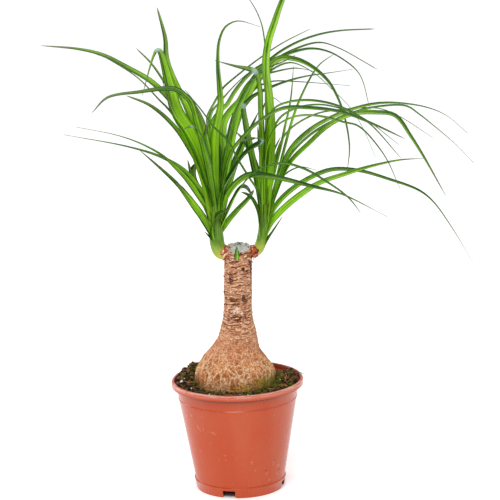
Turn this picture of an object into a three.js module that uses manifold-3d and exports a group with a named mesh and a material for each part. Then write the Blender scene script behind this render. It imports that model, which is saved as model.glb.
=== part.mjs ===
// A ponytail palm in its plastic nursery pot: a swollen trunk cut back at the top, with two leafy shoots
// that grow from collars beside the cut and one small green bud below it.
// Millimetres, +Z up. The origin is the middle of the pot's foot, on the surface that the pot stands on.
import * as THREE from 'three';
import { mergeVertices } from 'three/addons/utils/BufferGeometryUtils.js';
import Module from 'manifold-3d';

const wasm = await Module();
wasm.setup();

// Driving dimensions
const GAP = 0.3;                     // clearance between neighbouring pieces
const STEM_GAP = 0.7;                // round a shoot in its collar, where the bend narrows it
const POT_SIDES = 40;
const POT_HEIGHT = 101.5;
const RIM_RADIUS = 60;
const WALL = 1.5;
const WALL_FOOT_RADIUS = 41;         // outside of the wall, just above the foot
const WALL_TOP_RADIUS = 56;          // outside of the wall, just under the lip
const FOOT_RADIUS = 40.2;
const FOOT_HEIGHT = 9.5;
const FOOT_RING = 2;                 // width of the foot ring where it stands
const FOOT_FLARE = 1.2;              // how much the foot ring widens up to its top edge
const LIP_DEPTH = 5.5;
const LIP_WIDTH = 3.6;
const LIP_EDGE = 1.1;                // how far down the lip's upper edges are rounded
const STEP_HEIGHT = 85;              // the faint step that stops stacked pots from jamming
const STEP_OUT = 0.5;
const STEP_DEPTH = 0.7;
const PAD_RADIUS = 25;               // the flat middle of the underside
const CHANNEL_HEIGHT = 7;            // the raised ring under the floor that the slots drain
const CHANNEL_INNER = 27.5;
const CHANNEL_OUTER = 37.5;
const FLOOR_HEIGHT = CHANNEL_HEIGHT + WALL;
const SLOT_WIDTH = 11.7;
const SLOT_HEIGHT = 6.9;
const SLOT_FROM = 34.5;              // distance from the pot's axis to where each slot begins, in the channel
const SLOT_COUNT = 4;
const FIRST_SLOT_TURN = -15;         // degrees from the front, towards the right
const DRAIN_RADIUS = 3.5;
const DRAIN_SIDES = 12;

const SOIL_SIDES = 36;
const SOIL_LEVEL = 97;
const SOIL_UNEVENNESS = 0.8;
const SOIL_BELOW_RIM = 1.5;          // how far under the rim the soil meets the wall at the most
const SOIL_SLOPE = 0.9;              // how steeply it rises from there
const SOIL_EDGE_HEIGHT = 92;         // where the soil's top meets the wall
const SOIL_RING_RADII = [50.5, 46, 41, 36, 30];
const SOIL_CLEARANCE = 0.57;         // between the corners of the soil and the wall
// Heaps and hollows of the soil: rise, middle [x, y] and spread, squared
const SOIL_HEAPS = [
  [12, [-42, 20], 330],
  [3, [-48, -6], 200],
  [5.5, [47, 6], 260],
  [-7, [24, 44], 260],
];

const TRUNK_SIDES = 32;
const BULB_X = -1.6;                 // sideways centre of the bulb
const BULB_FOOT = 64.5;              // height of the bulb's lowest point, in the soil
const BURIED_RINGS = [66, 70, 80, 90, 95, 98.5];  // heights of the bulb's sections below the net
const NET_FROM = 102;
const NET_STEP = 3.6;
const SCARS_FROM = 150;
const SCAR_STEP = 4.8;
const ROOM_RINGS = [66, 70, 80, 90, 97, 104, 109, 113];  // heights of the hollow's sections in the soil
const ROOM_FOOT = 63;                // height of the hollow's floor
const BARK_RELIEF = 0.6;             // how far the net stands out, and its pits go in
const BARK_BEGINS = [88, 97];        // heights between which the net rises from the smooth buried part
const NET_FADES = [118, 150];        // heights between which the net turns into rings of leaf scars
const SCAR_RELIEF = 0.7;             // how far each ring of leaf scars stands out
const CUT_HEIGHT = 222.5;
const CUT_CENTRE_X = 4.5;
const CUT_TILT = 9;                  // degrees, towards the front
const CUT_DISH = 0.6;                // how far the middle of the cut has sunk

// Height, radius and sideways centre of the trunk
const TRUNK_PROFILE = [
  [66, 14, BULB_X],
  [70, 23, BULB_X],
  [80, 31.5, BULB_X],
  [97, 35.5, BULB_X],
  [104, 36.4, BULB_X],
  [109, 35.9, -1.7],
  [113, 34.2, -1.9],
  [118, 30.8, -2.4],
  [123, 27.5, -2.4],
  [128, 23.4, -1.8],
  [133, 20.8, -0.4],
  [141, 17.3, 1.5],
  [147, 16.1, 1.9],
  [155, 14, 2.1],
  [162, 12.8, 2.4],
  [190, 12.4, 3.3],
  [CUT_HEIGHT, 12.2, CUT_CENTRE_X],
];

// Blades
const BLADE_THICKNESS = 0.9;
const BLADE_FOOT = 0.5;              // length of its pointed end in the shoot
const BLADE_FOLD = 0.26;             // how far its edges stand over its rib, as a share of half its width
const WIDEST_BLADE = 15;
const LEAST_WIDTH = 0.9;             // of a blade, laid flat, before its seen width is added
const FLAT_PER_SEEN = 1.3;           // how much broader a blade is than it looks from the front
const SHOWN_BY_ARCH = 8;             // degrees that a blade seems turned to the front where it arches
const ROOT_BREADTH = 0.85;           // a blade's breadth at its root, as a share of its width
const BREADTH_GAIN = 1.5;            // how fast it widens from there
const MOST_BREADTH = 1.1;
const END_CURVE = 1.5;               // how late along a blade its taper begins
const LEAST_HALF = 0.45;             // half the width of a blade's thin end
const LEAN_CURVE = 1.5;              // how late along a blade its lean begins
const LONGEST_STEP = 30;             // between two sections of a blade
const BEND_SPAN = 0.02;              // the share of a blade over which its bend is measured, to each side
const BEND_LIMIT = 0.8;              // the sharpest edgewise bend, as half the width over the bend's radius
const VIEWPOINT = new THREE.Vector3(15, -1826, 625);
const UP = new THREE.Vector3(0, 0, 1);

// Each leaf's first number is its width as seen from the front. The second is its taper: low where it keeps
// its width until near the tip, high where it narrows from the root on. The third is how far back its tip
// leans, or forwards where it is negative, and the fourth is an extra bow of its middle in the same sense.
// Then come the points [x, z] of its middle line from root to tip, as they are seen against the upright
// plane through the trunk.
const LEFT_LEAVES = [
  [5.2, 0.6, 30, 0, [-15, 246], [-18, 275], [-24, 300], [-33, 325], [-45, 349], [-66, 373.5], [-90, 389],
    [-110, 400], [-130, 405.5], [-163, 409.5]],
  [3.2, 0.6, -15, 0, [-16, 246], [-20, 275], [-31, 308], [-41, 331.5], [-47.3, 341], [-54, 350.5],
    [-61, 358], [-80, 379], [-112, 400.5]],
  [8, 0.7, -35, 0, [-15, 246], [-19, 285], [-24, 315], [-29.5, 340], [-33.5, 355], [-38.4, 361],
    [-43, 365.3], [-50, 368], [-60, 368], [-77.5, 366], [-107, 361.7], [-121, 348.7]],
  [4.5, 0.45, -5, 0, [-15, 244], [-21.5, 280], [-29.5, 301], [-37.5, 316], [-45, 329], [-52.5, 338.5],
    [-61.5, 347.5], [-71.5, 355], [-90, 363]],
  [5, 0.5, 25, 0, [-15, 246], [-22, 300], [-35, 345], [-53, 392], [-54, 413], [-60, 440]],
  [13.5, 0.85, -10, 0, [-15, 242], [-21, 281], [-29.5, 311], [-37, 331], [-42.4, 340], [-47, 350],
    [-49.5, 360], [-51, 369], [-53, 378], [-54.7, 386], [-56.4, 393], [-58.5, 400], [-61, 403],
    [-64.5, 398], [-76, 363]],
  [4, 0.8, -14, 0, [-15, 242], [-22, 283], [-31, 314], [-40.5, 333], [-46.8, 342], [-50.5, 350],
    [-53.7, 359], [-56, 368], [-58.5, 378]],
  [1.8, 0.3, 45, 0, [-15, 246], [-22, 290], [-33, 325], [-45, 355], [-57, 375.5], [-67, 391],
    [-79.5, 404.5]],
  [7, 0.6, 15, 0, [-14, 245], [-16, 280], [-20.5, 312], [-23.4, 328.5], [-24.8, 336], [-27.3, 344],
    [-30, 351], [-34, 360]],
  [4.5, 0.8, -50, 0, [-14, 246], [-17, 290], [-21, 314], [-26, 328], [-33, 334], [-41, 331.5]],
  [7.5, 1.2, -20, 0, [-14, 236], [-19.5, 254], [-24.5, 264], [-29.5, 271.5], [-34.5, 279], [-39.6, 286.4],
    [-44.4, 292.2], [-49.9, 298.1], [-55.4, 304], [-63, 310.5], [-80.5, 320.5], [-100, 328],
    [-136, 336.5]],
  [4.5, 1, 25, 0, [-14, 240], [-20, 262], [-30, 280], [-42, 295], [-61.5, 307.3], [-90.5, 317.4],
    [-147, 329.9]],
  [11.5, 0.8, -25, 0, [-15, 230], [-19, 237], [-23.5, 245], [-28.5, 253.5], [-33.5, 261], [-38, 267.8],
    [-41.5, 272.8], [-44.3, 276.8], [-46.3, 279.6], [-47.6, 281.4], [-48.4, 282.5], [-49, 283.3]],
  [7, 0.8, -40, 0, [-15, 230], [-20, 238], [-27, 250.5], [-37.5, 267], [-47.3, 281], [-62, 296.5],
    [-81, 314.5]],
  [10.5, 1.1, -10, 0, [-13.5, 250], [-13.6, 285], [-13, 317], [-12, 328], [-9, 341], [-6.9, 350],
    [-6.6, 357], [-7, 365], [-7.6, 374], [-8.2, 384], [-8, 396], [-6.5, 409], [-0.8, 421], [10, 426],
    [30, 420.3]],
  [1.3, 0.4, 60, 0, [-13, 248], [-15, 290], [-19, 330], [-19.1, 342], [-17.3, 346.5], [-13.8, 352.5],
    [-11.2, 357], [-4.5, 367.3], [3.5, 374.3], [26.6, 391.4], [48, 405], [73, 417]],
  [6.5, 0.6, 15, 0, [-15, 238], [-19.5, 260], [-24.6, 269], [-29.5, 275.5], [-32.7, 281.8],
    [-34.4, 288.4], [-34, 293.6], [-33, 296.6], [-32.2, 298.6], [-31.5, 300]],
  [8.5, 0.8, -30, 0, [-12, 250], [-10.2, 272], [0.8, 292], [11.7, 307], [22, 315], [29, 318.5],
    [24, 321.5], [8, 319]],
  [9, 0.7, -16, 0, [-15, 228], [-18, 238], [-17.5, 247], [-13, 253.5], [-3.5, 257]],
  [1.5, 0.8, 80, 0, [-13, 246], [-16, 300], [-18, 335], [-15.1, 346.4], [-10.5, 352], [-3.7, 359.4],
    [3.3, 366.8], [14, 376.8], [36, 392]],
  [5, 0.5, -70, -12, [-11, 250], [-8, 275], [0, 307], [10.6, 321.6], [28.4, 337.5], [48, 347.5],
    [73, 347.2], [100, 342.6], [127, 331.4], [155, 317.3]],
  [8, 1.2, -75, -22, [-12, 246], [-3.9, 270], [6.1, 282.8], [17.5, 288.5], [40, 285.6], [71.4, 276.9],
    [98.4, 268.8], [138.7, 247]],
  [2, 0.6, -100, -18, [-11, 246], [0.7, 266], [11.6, 282], [24, 292.8], [46, 298.3], [65.6, 292.7],
    [85, 280.6], [103.8, 266], [115, 251.3]],
  [4, 0.3, 16, 4, [-12, 236], [-3.5, 248], [5.5, 258], [15, 267.5], [20, 275]],
  [3, 0.25, 70, 10, [-13, 250], [-15, 290], [-17, 318], [-16.3, 333], [-13, 340.5], [-8, 346.5],
    [-1.4, 352.5], [1.5, 357], [4.9, 362.5], [9, 368], [14.1, 374], [23, 382], [37, 389.5], [49.5, 394.5],
    [71.5, 399.8], [87, 397.5], [101.7, 389.6], [116.3, 375.7], [125, 344]],
  [6.3, 0.45, 50, 8, [-12.5, 250], [-6, 285], [-1, 308], [2.3, 325], [5.2, 337], [9, 347.5],
    [13.1, 353.5], [18.6, 363], [25, 374], [34, 382.5], [46, 391.8], [59.5, 391], [73, 384.8],
    [88.5, 370.3], [98.3, 350.8], [103.5, 332], [106, 310], [104, 292]],
  [1.8, 0.8, 95, 14, [-13, 250], [-2, 300], [8, 335], [20, 362], [36, 380], [55, 388], [75, 379],
    [91, 364], [107, 347], [117, 330.5], [129, 301.5]],
  [2, 0.15, 85, 8, [-13, 250], [-6, 300], [3, 340], [14, 363], [24, 378], [41, 394], [60, 405],
    [80, 411.8], [99.5, 414.8], [130, 415.5]],
  [1.5, 0.1, 110, 16, [-13, 250], [-5, 300], [6, 340], [20, 368], [38, 388], [61.5, 400.5], [81.5, 405],
    [97.5, 400], [131.5, 380]],
  [6.5, 0.9, 40, 12, [-12, 250], [-10.3, 285], [-7.5, 300], [-6.3, 315], [-6.2, 325], [-5, 335.5],
    [-1, 343.5], [5, 350.5], [9.6, 355.5], [12.5, 361], [15.5, 366.5], [20.6, 373], [28, 377.5],
    [37.5, 379.5], [60, 383], [75, 380]],
  [1.8, 0.8, 60, 30, [-12, 250], [-4, 305], [8, 340], [22, 364], [37, 371.5], [60.5, 371], [81, 369],
    [108, 366]],
  [3.5, 0.6, -8, 0, [-12, 222], [-18.5, 230.5], [-25, 238]],
  [6, 0.8, 45, 8, [-12, 246], [-5, 275], [4, 300], [12, 318], [19, 331], [26, 345]],
  [8, 0.8, 75, 0, [-15, 244], [-20, 275], [-27, 305], [-37, 335], [-50, 358]],
  [7, 0.7, -25, 0, [-12, 240], [-5, 255], [0, 265], [5, 274], [10, 278.5], [14, 277], [18, 270]],
  [1.5, 0.6, 0, 0, [-15, 246], [-20, 290], [-26, 320], [-29.3, 332.5], [-31, 339], [-32.6, 347],
    [-33.2, 353]],
  [1.3, 0.5, 20, 0, [-13, 250], [-4, 310], [8, 350], [22, 373], [37, 384.5], [48, 388.5], [60, 394.5]],
  [3.5, 0.6, 12, 0, [-14.5, 246], [-18, 268], [-21.5, 290], [-23, 310], [-22, 325], [-19, 338]],
  [3, 0.6, 8, 0, [-12, 246], [-11, 268], [-9, 290], [-8.5, 308], [-10, 322]],
  [4, 0.6, 14, 0, [-15.5, 240], [-22, 258], [-29, 276], [-35, 290], [-38, 304]],
];
const RIGHT_LEAVES = [
  [7, 1, -12, 0, [29.5, 245], [35, 290], [37.5, 330], [36.5, 358], [34, 385], [36.6, 406], [42.8, 424.2],
    [48.5, 439.6], [57, 457.5], [68, 470], [84, 476]],
  [0.9, 0.8, 20, 0, [29, 250], [33, 320], [34.5, 380], [33.8, 400.5], [30.6, 424.3], [21.2, 444.2],
    [10, 456]],
  [5.5, 0.4, -20, -6, [28.5, 245], [27.5, 290], [28, 330], [27.6, 350], [27.5, 366], [24.5, 380.5],
    [18, 383.5], [8, 386], [-11, 392]],
  [6, 0.8, -8, 0, [28, 245], [28, 275], [31, 310], [33, 335], [33, 360], [33, 384]],
  [4.6, 1.5, -25, 0, [29, 245], [38, 270], [52, 308], [70, 326.5], [90, 338], [110, 345.3], [130, 349.5],
    [151, 349.3], [176, 344.5], [192.7, 336.8], [211.3, 320.2]],
  [5, 0.65, -60, 0, [29.5, 240], [40, 272], [52, 297.5], [70, 315.5], [90, 332.5], [110, 341],
    [130, 341.5], [147, 338.3], [161, 318.7], [173, 298.6], [191.2, 264.6]],
  [3, 1.3, -85, 0, [29, 245], [38, 268], [52, 303], [70, 322], [90, 334], [110, 342], [130, 346.5],
    [157, 346.5], [167.5, 339.5], [180.5, 328.7], [200, 311.2], [216.2, 293.7]],
  [1.3, 0.5, 40, 0, [29, 250], [36, 290], [50, 325], [75, 341], [100, 345], [132.5, 345], [150.5, 337.5],
    [180, 317.5]],
  [4.2, 0.95, 35, 0, [28, 238], [37.5, 257.5], [51.5, 272.5], [71.5, 285], [90, 291.3], [112.5, 290],
    [140, 281.4], [167.3, 270.2], [179.7, 259.8], [196.8, 234.8], [215.5, 202]],
  [6.3, 1, -20, 0, [27.5, 231], [34.5, 244.5], [47, 258], [62.5, 270], [77.5, 279], [103.5, 287.5],
    [126.5, 293.7], [151, 298.2], [172, 299]],
  [2, 1, -6, 0, [29, 258], [40, 275], [48, 288], [62, 294.5], [77, 290.8]],
  [4, 0.6, -5, 0, [26, 222], [30.5, 229], [35, 235.5], [45, 250]],
  [8, 0.7, -12, 0, [25.5, 232], [25, 245], [23.5, 255], [20, 264], [15.5, 270], [8.5, 273.5]],
  [6, 0.8, 14, 0, [28, 250], [25.5, 275], [22, 295], [17.5, 310], [12, 321], [5.5, 328]],
  [1.6, 0.6, 60, 0, [29, 250], [38, 275], [46, 304], [56, 337.5], [65, 359.5], [80, 384.5], [94, 394.5]],
  [1.9, 0.5, -60, 0, [29, 250], [30, 290], [33, 330], [40, 347.5], [52.5, 353], [67.5, 354.3],
    [81.5, 352.8], [96.5, 348.5], [111.2, 341], [125.7, 330.4], [151.5, 300]],
  [1.7, 0.6, -70, 0, [29, 250], [30, 290], [34, 318], [42, 332], [55, 339], [67.5, 341], [86, 338.5],
    [102, 333.5], [112, 331], [120, 325], [138, 301], [150.5, 272]],
  [1.6, 0.5, 15, 0, [29, 250], [34, 310], [44, 338], [60, 347.5], [80, 350], [100, 345.5], [120, 336],
    [150, 312]],
  [3.5, 0.4, -53, -10, [26.5, 246], [25, 266], [21.9, 277], [17.6, 284], [11, 295.5], [4.7, 307],
    [0.3, 317.5], [-3.6, 322.5], [-8, 326.8], [-14.3, 333.5], [-19.8, 341.5], [-24.9, 349], [-31.8, 358],
    [-38, 366.5]],
  [6, 0.9, 20, 0, [28, 246], [26.5, 262], [23.8, 282], [20.5, 300], [17.5, 317], [15.4, 330], [14.2, 339],
    [13.2, 346], [13.4, 350.5], [16, 353.8], [20.1, 358], [26, 361.5], [37, 366.5], [51.5, 371.5],
    [68.5, 375.5], [85.5, 377.5], [110, 380.5]],
  [1.5, 0.7, 45, 0, [29, 250], [36, 280], [42.8, 306], [46.6, 320], [49.7, 333.5], [52.7, 344.5],
    [55.2, 357.5], [56.8, 371], [58, 385]],
  [3, 0.6, 14, 0, [27.5, 246], [30, 270], [33.5, 292], [38, 308], [45, 322]],
  [2.6, 0.6, 16, 0, [28, 246], [29, 272], [28.5, 296], [26, 316], [25, 332]],
  [1.6, 0.5, 6, 0, [28, 250], [27, 290], [28, 335], [32, 352], [39, 357.5], [46.5, 352]],
];

// The bud leaf: its root in the bark, its sections with their middles and half widths, and its tip
const BUD_ROOT = [2.6, -10.7, 214.5];
const BUD_SECTIONS = [
  { middle: [2.6, -12.9, 217], half: 1.4 },
  { middle: [3.2, -14, 221], half: 1.9 },
  { middle: [3.8, -15.1, 225.5], half: 0.8 },
];
const BUD_TIP = [3.8, -15.8, 227.1];
const BUD_HALF_THICKNESS = 0.8;
const BUD_ROOM = 0.45;               // clearance round the bud in the bark

// Shoots: the points [x, z] of each one's middle line, with its radius there
const LEFT_STEM = [
  [-5.5, 217, 5.4],
  [-10.5, 218.5, 6],
  [-13.6, 224, 6.3],
  [-14.5, 238, 5.8],
  [-14, 262, 4.4],
];
const RIGHT_STEM = [
  [17.5, 217.5, 4],
  [21.5, 219.5, 4.3],
  [25.2, 227, 4.5],
  [27, 237, 4.2],
  [29, 262, 3.2],
];
const STEM_SIDES = 12;
const STEM_STEPS = 9;
const STEM_FOOT = 1;                 // length of the pointed end in the collar
const STEM_TIP = 2;                  // length of the pointed end among the leaves
// Collars: centre [x, z], and half sizes across, deep and high
const LEFT_COLLAR = { centre: [-7, 218.5], half: [7, 8, 6.6] };
const RIGHT_COLLAR = { centre: [17.5, 218.5], half: [6.2, 7, 6] };
const COLLAR_SIDES = 14;
const COLLAR_RINGS = 8;

const degrees = (angle) => THREE.MathUtils.degToRad(angle);
const vector = (x, y, z) => new THREE.Vector3(x, y, z);

// A solid for cutting and joining, from any closed three.js geometry
function toSolid(geometry) {
  const bare = geometry.clone();
  bare.deleteAttribute('normal');
  bare.deleteAttribute('uv');
  const merged = mergeVertices(bare, 1e-4);
  return new wasm.Manifold(new wasm.Mesh({
    numProp: 3,
    vertProperties: new Float32Array(merged.attributes.position.array),
    triVerts: new Uint32Array(merged.index.array),
  }));
}

// The geometry of a solid's main body: hollows that joining sealed are filled, and loose scraps are dropped.
function toGeometry(solid) {
  const bodies = solid.decompose().sort((one, other) => other.volume() - one.volume());
  const mesh = bodies[0].getMesh();
  const geometry = new THREE.BufferGeometry();
  geometry.setAttribute('position', new THREE.BufferAttribute(mesh.vertProperties, 3));
  geometry.setIndex(new THREE.BufferAttribute(mesh.triVerts, 1));
  geometry.computeVertexNormals();
  return geometry;
}

// A closed skin over rings of equal point counts, with a pointed end before the first and after the last
function skin(start, rings, end) {
  const count = rings[0].length;
  const points = [start, ...rings.flat(), end];
  const last = points.length - 1;
  const at = (ring, side) => 1 + ring * count + (side % count);
  const faces = [];
  for (let side = 0; side < count; side += 1) {
    faces.push(0, at(0, side + 1), at(0, side));
    for (let ring = 0; ring < rings.length - 1; ring += 1) {
      faces.push(at(ring, side), at(ring, side + 1), at(ring + 1, side + 1));
      faces.push(at(ring, side), at(ring + 1, side + 1), at(ring + 1, side));
    }
    faces.push(at(rings.length - 1, side), at(rings.length - 1, side + 1), last);
  }
  const geometry = new THREE.BufferGeometry();
  geometry.setAttribute('position', new THREE.Float32BufferAttribute(points.flatMap((p) => p.toArray()), 3));
  geometry.setIndex(faces);
  return geometry;
}

// A turned solid about the Z axis, from [radius, height] pairs listed anticlockwise
function turned(profile, sides) {
  const outline = profile.map(([radius, height]) => new THREE.Vector2(radius, height));
  return new THREE.LatheGeometry(outline, sides).rotateX(Math.PI / 2);
}

// The pot's outside, by height
function wallRadius(height) {
  const share = (height - FOOT_HEIGHT) / (POT_HEIGHT - LIP_DEPTH - FOOT_HEIGHT);
  return WALL_FOOT_RADIUS + share * (WALL_TOP_RADIUS - WALL_FOOT_RADIUS);
}

function makePot() {
  const lipFoot = POT_HEIGHT - LIP_DEPTH;
  const outline = [
    [0, 0],
    [PAD_RADIUS, 0],
    [CHANNEL_INNER, CHANNEL_HEIGHT],
    [CHANNEL_OUTER, CHANNEL_HEIGHT],
    [FOOT_RADIUS - FOOT_RING, 0],
    [FOOT_RADIUS, 0],
    [FOOT_RADIUS + FOOT_FLARE, FOOT_HEIGHT],
    [WALL_FOOT_RADIUS, FOOT_HEIGHT + 0.5],
    [wallRadius(STEP_HEIGHT) - STEP_OUT, STEP_HEIGHT - STEP_DEPTH],
    [wallRadius(STEP_HEIGHT) + 0.1, STEP_HEIGHT],
    [WALL_TOP_RADIUS, lipFoot],
    [RIM_RADIUS - 0.7, lipFoot + 0.2],
    [RIM_RADIUS, lipFoot + 1.4],
    [RIM_RADIUS, POT_HEIGHT - LIP_EDGE],
    [RIM_RADIUS - 1, POT_HEIGHT],
    [RIM_RADIUS - LIP_WIDTH + 1.2, POT_HEIGHT],
    [RIM_RADIUS - LIP_WIDTH, POT_HEIGHT - LIP_EDGE],
    [wallRadius(lipFoot) - WALL, lipFoot - 0.5],
    [wallRadius(FLOOR_HEIGHT) - WALL, FLOOR_HEIGHT],
    [CHANNEL_INNER - WALL, FLOOR_HEIGHT],
    [PAD_RADIUS - WALL, WALL],
    [0, WALL],
  ];
  let pot = toSolid(turned(outline, POT_SIDES));
  for (let index = 0; index < SLOT_COUNT; index += 1) {
    const turn = degrees(FIRST_SLOT_TURN + index * 360 / SLOT_COUNT);
    const slot = new THREE.BoxGeometry(SLOT_WIDTH, RIM_RADIUS - SLOT_FROM, 2 * SLOT_HEIGHT);
    slot.translate(0, -(RIM_RADIUS + SLOT_FROM) / 2, 0).rotateZ(turn);
    const drain = new THREE.CylinderGeometry(DRAIN_RADIUS, DRAIN_RADIUS, 4 * WALL, DRAIN_SIDES);
    drain.rotateX(Math.PI / 2);
    drain.translate(0, -(CHANNEL_INNER + CHANNEL_OUTER) / 2, FLOOR_HEIGHT).rotateZ(turn);
    pot = pot.subtract(toSolid(slot)).subtract(toSolid(drain));
  }
  return pot;
}

// The soil is heaped at the left and at the far side, and has sunk below the rim at the right rear.
// Near the wall it slopes down, so that it never stands over the rim.
function soilHeight(x, y) {
  const ripple = Math.sin(x * 0.31 + 1) * Math.cos(y * 0.37 - x * 0.12);
  let level = SOIL_LEVEL + SOIL_UNEVENNESS * ripple;
  for (const [rise, middle, spread] of SOIL_HEAPS) {
    level += rise * Math.exp(-((x - middle[0]) ** 2 + (y - middle[1]) ** 2) / spread);
  }
  const fromWall = wallRadius(SOIL_EDGE_HEIGHT) - WALL - Math.hypot(x, y);
  return Math.min(level, POT_HEIGHT - SOIL_BELOW_RIM + SOIL_SLOPE * fromWall);
}

function makeSoil(bulb) {
  const inside = (height) => wallRadius(height) - WALL - SOIL_CLEARANCE;
  const ring = (radius, height) => {
    const points = [];
    for (let side = 0; side < SOIL_SIDES; side += 1) {
      const angle = side * 2 * Math.PI / SOIL_SIDES;
      const x = radius * Math.cos(angle);
      const y = radius * Math.sin(angle);
      points.push(vector(x, y, height ?? soilHeight(x, y)));
    }
    return points;
  };
  const rings = [
    ring(PAD_RADIUS - WALL - 2 * SOIL_CLEARANCE, WALL + GAP),
    ring(CHANNEL_INNER - WALL - 2 * SOIL_CLEARANCE, FLOOR_HEIGHT + GAP),
    ring(inside(FLOOR_HEIGHT), FLOOR_HEIGHT + GAP),
    ring(inside(SOIL_EDGE_HEIGHT - 6), SOIL_EDGE_HEIGHT - 6),
    ring(inside(SOIL_EDGE_HEIGHT)),
    ...SOIL_RING_RADII.map((radius) => ring(radius)),
  ];
  const soil = toSolid(skin(vector(0, 0, WALL + GAP), rings, vector(0, 0, SOIL_LEVEL)));
  return soil.subtract(bulb);
}

// The bark: a net of ridges round small pits on the bulb, which turns into rings of leaf scars up the stem
function barkRelief(side, ring, height) {
  const isPit = ring % 2 === 1 && (side + (ring - 1) / 2) % 2 === 1;
  const net = isPit ? -BARK_RELIEF : BARK_RELIEF;
  const scars = SCAR_RELIEF * Math.cos(Math.PI * ring) * (0.7 + 0.3 * Math.sin(side * 1.9 + ring));
  const share = THREE.MathUtils.smoothstep(height, ...NET_FADES);
  const aboveSoil = THREE.MathUtils.smoothstep(height, ...BARK_BEGINS);
  return aboveSoil * THREE.MathUtils.lerp(net, scars, share);
}

function trunkAt(height) {
  const next = Math.max(1, TRUNK_PROFILE.findIndex(([level]) => level >= height));
  const [lowHeight, lowRadius, lowX] = TRUNK_PROFILE[next - 1];
  const [highHeight, highRadius, highX] = TRUNK_PROFILE[next];
  const share = (height - lowHeight) / (highHeight - lowHeight);
  return {
    radius: THREE.MathUtils.lerp(lowRadius, highRadius, share),
    x: THREE.MathUtils.lerp(lowX, highX, share),
  };
}

function trunkRings(heights, relief, extra) {
  const tilt = Math.tan(degrees(CUT_TILT));
  return heights.map((height, ring) => {
    const { radius, x } = trunkAt(height);
    const points = [];
    for (let side = 0; side < TRUNK_SIDES; side += 1) {
      const angle = side * 2 * Math.PI / TRUNK_SIDES;
      const reach = radius + extra + relief * barkRelief(side, ring, height);
      const y = reach * Math.sin(angle);
      const lean = THREE.MathUtils.smoothstep(height, CUT_HEIGHT - 22.5, CUT_HEIGHT) * tilt * y;
      points.push(vector(x + reach * Math.cos(angle), y, height + lean));
    }
    return points;
  });
}

function makeTrunk(hollows) {
  const heights = [...BURIED_RINGS];
  for (let height = NET_FROM; height < SCARS_FROM; height += NET_STEP) heights.push(height);
  for (let height = SCARS_FROM; height < CUT_HEIGHT; height += SCAR_STEP) heights.push(height);
  heights.push(CUT_HEIGHT);
  const rings = trunkRings(heights, 1, 0);
  const cutMiddle = vector(CUT_CENTRE_X, 0, CUT_HEIGHT - CUT_DISH);
  let trunk = toSolid(skin(vector(BULB_X, 0, BULB_FOOT), rings, cutMiddle));
  for (const { centre: [x, z], half } of [LEFT_COLLAR, RIGHT_COLLAR]) {
    const collar = new THREE.SphereGeometry(1, COLLAR_SIDES, COLLAR_RINGS).scale(...half).translate(x, 0, z);
    trunk = trunk.add(toSolid(collar));
  }
  for (const hollow of hollows) trunk = trunk.subtract(hollow);
  return trunk;
}

// The room that the bulb takes up in the soil, with the gap round it
function makeBulbRoom() {
  const rings = trunkRings(ROOM_RINGS, 0, GAP + BARK_RELIEF);
  const foot = rings[0].map((p) => vector(p.x, p.y, ROOM_FOOT + 1));
  const top = vector(BULB_X, 0, ROOM_RINGS.at(-1) + 1);
  return toSolid(skin(vector(BULB_X, 0, ROOM_FOOT), [foot, ...rings], top));
}

// A bent shoot with round section; extra widens it into the room that it takes up in its collar
function makeStem(stem, extra) {
  const middle = new THREE.CatmullRomCurve3(stem.map(([x, z]) => vector(x, 0, z)));
  const rings = [];
  for (let step = 0; step <= STEM_STEPS; step += 1) {
    const share = step / STEM_STEPS;
    const ahead = middle.getTangent(share);
    const across = vector(0, 1, 0).cross(ahead).normalize();
    const centre = middle.getPoint(share);
    const place = share * (stem.length - 1);
    const low = Math.min(Math.floor(place), stem.length - 2);
    const radius = THREE.MathUtils.lerp(stem[low][2], stem[low + 1][2], place - low) + extra;
    const points = [];
    for (let side = 0; side < STEM_SIDES; side += 1) {
      const angle = side * 2 * Math.PI / STEM_SIDES;
      points.push(centre.clone().addScaledVector(across, radius * Math.cos(angle))
        .add(vector(0, radius * Math.sin(angle), 0)));
    }
    rings.push(points);
  }
  const start = middle.getPoint(0).addScaledVector(middle.getTangent(0), -STEM_FOOT - extra);
  const end = middle.getPoint(1).addScaledVector(middle.getTangent(1), STEM_TIP + extra);
  return toSolid(skin(start, rings, end));
}

// A leaf's middle line in space: each traced point slides along its line of sight to its own depth.
function leafLine(leaf) {
  const [, , tipBack, bowBack, ...route] = leaf;
  const flat = route.map(([x, z]) => vector(x, 0, z));
  const lengths = [0];
  for (let index = 1; index < flat.length; index += 1) {
    lengths.push(lengths[index - 1] + flat[index].distanceTo(flat[index - 1]));
  }
  const whole = lengths.at(-1);
  const points = flat.map((point, index) => {
    const share = lengths[index] / whole;
    const back = tipBack * share ** LEAN_CURVE + bowBack * 4 * share * (1 - share);
    return VIEWPOINT.clone().lerp(point, (back - VIEWPOINT.y) / -VIEWPOINT.y);
  });
  return new THREE.CatmullRomCurve3(points, false, 'centripetal');
}

// Where a leaf's sections stand: at each traced point, and between points that lie far apart
function leafStations(line) {
  const spans = line.points.length - 1;
  const stations = [0];
  for (let index = 0; index < spans; index += 1) {
    const length = line.points[index].distanceTo(line.points[index + 1]);
    const parts = Math.ceil(length / LONGEST_STEP);
    for (let part = 1; part <= parts; part += 1) stations.push((index + part / parts) / spans);
  }
  return stations;
}

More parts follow.
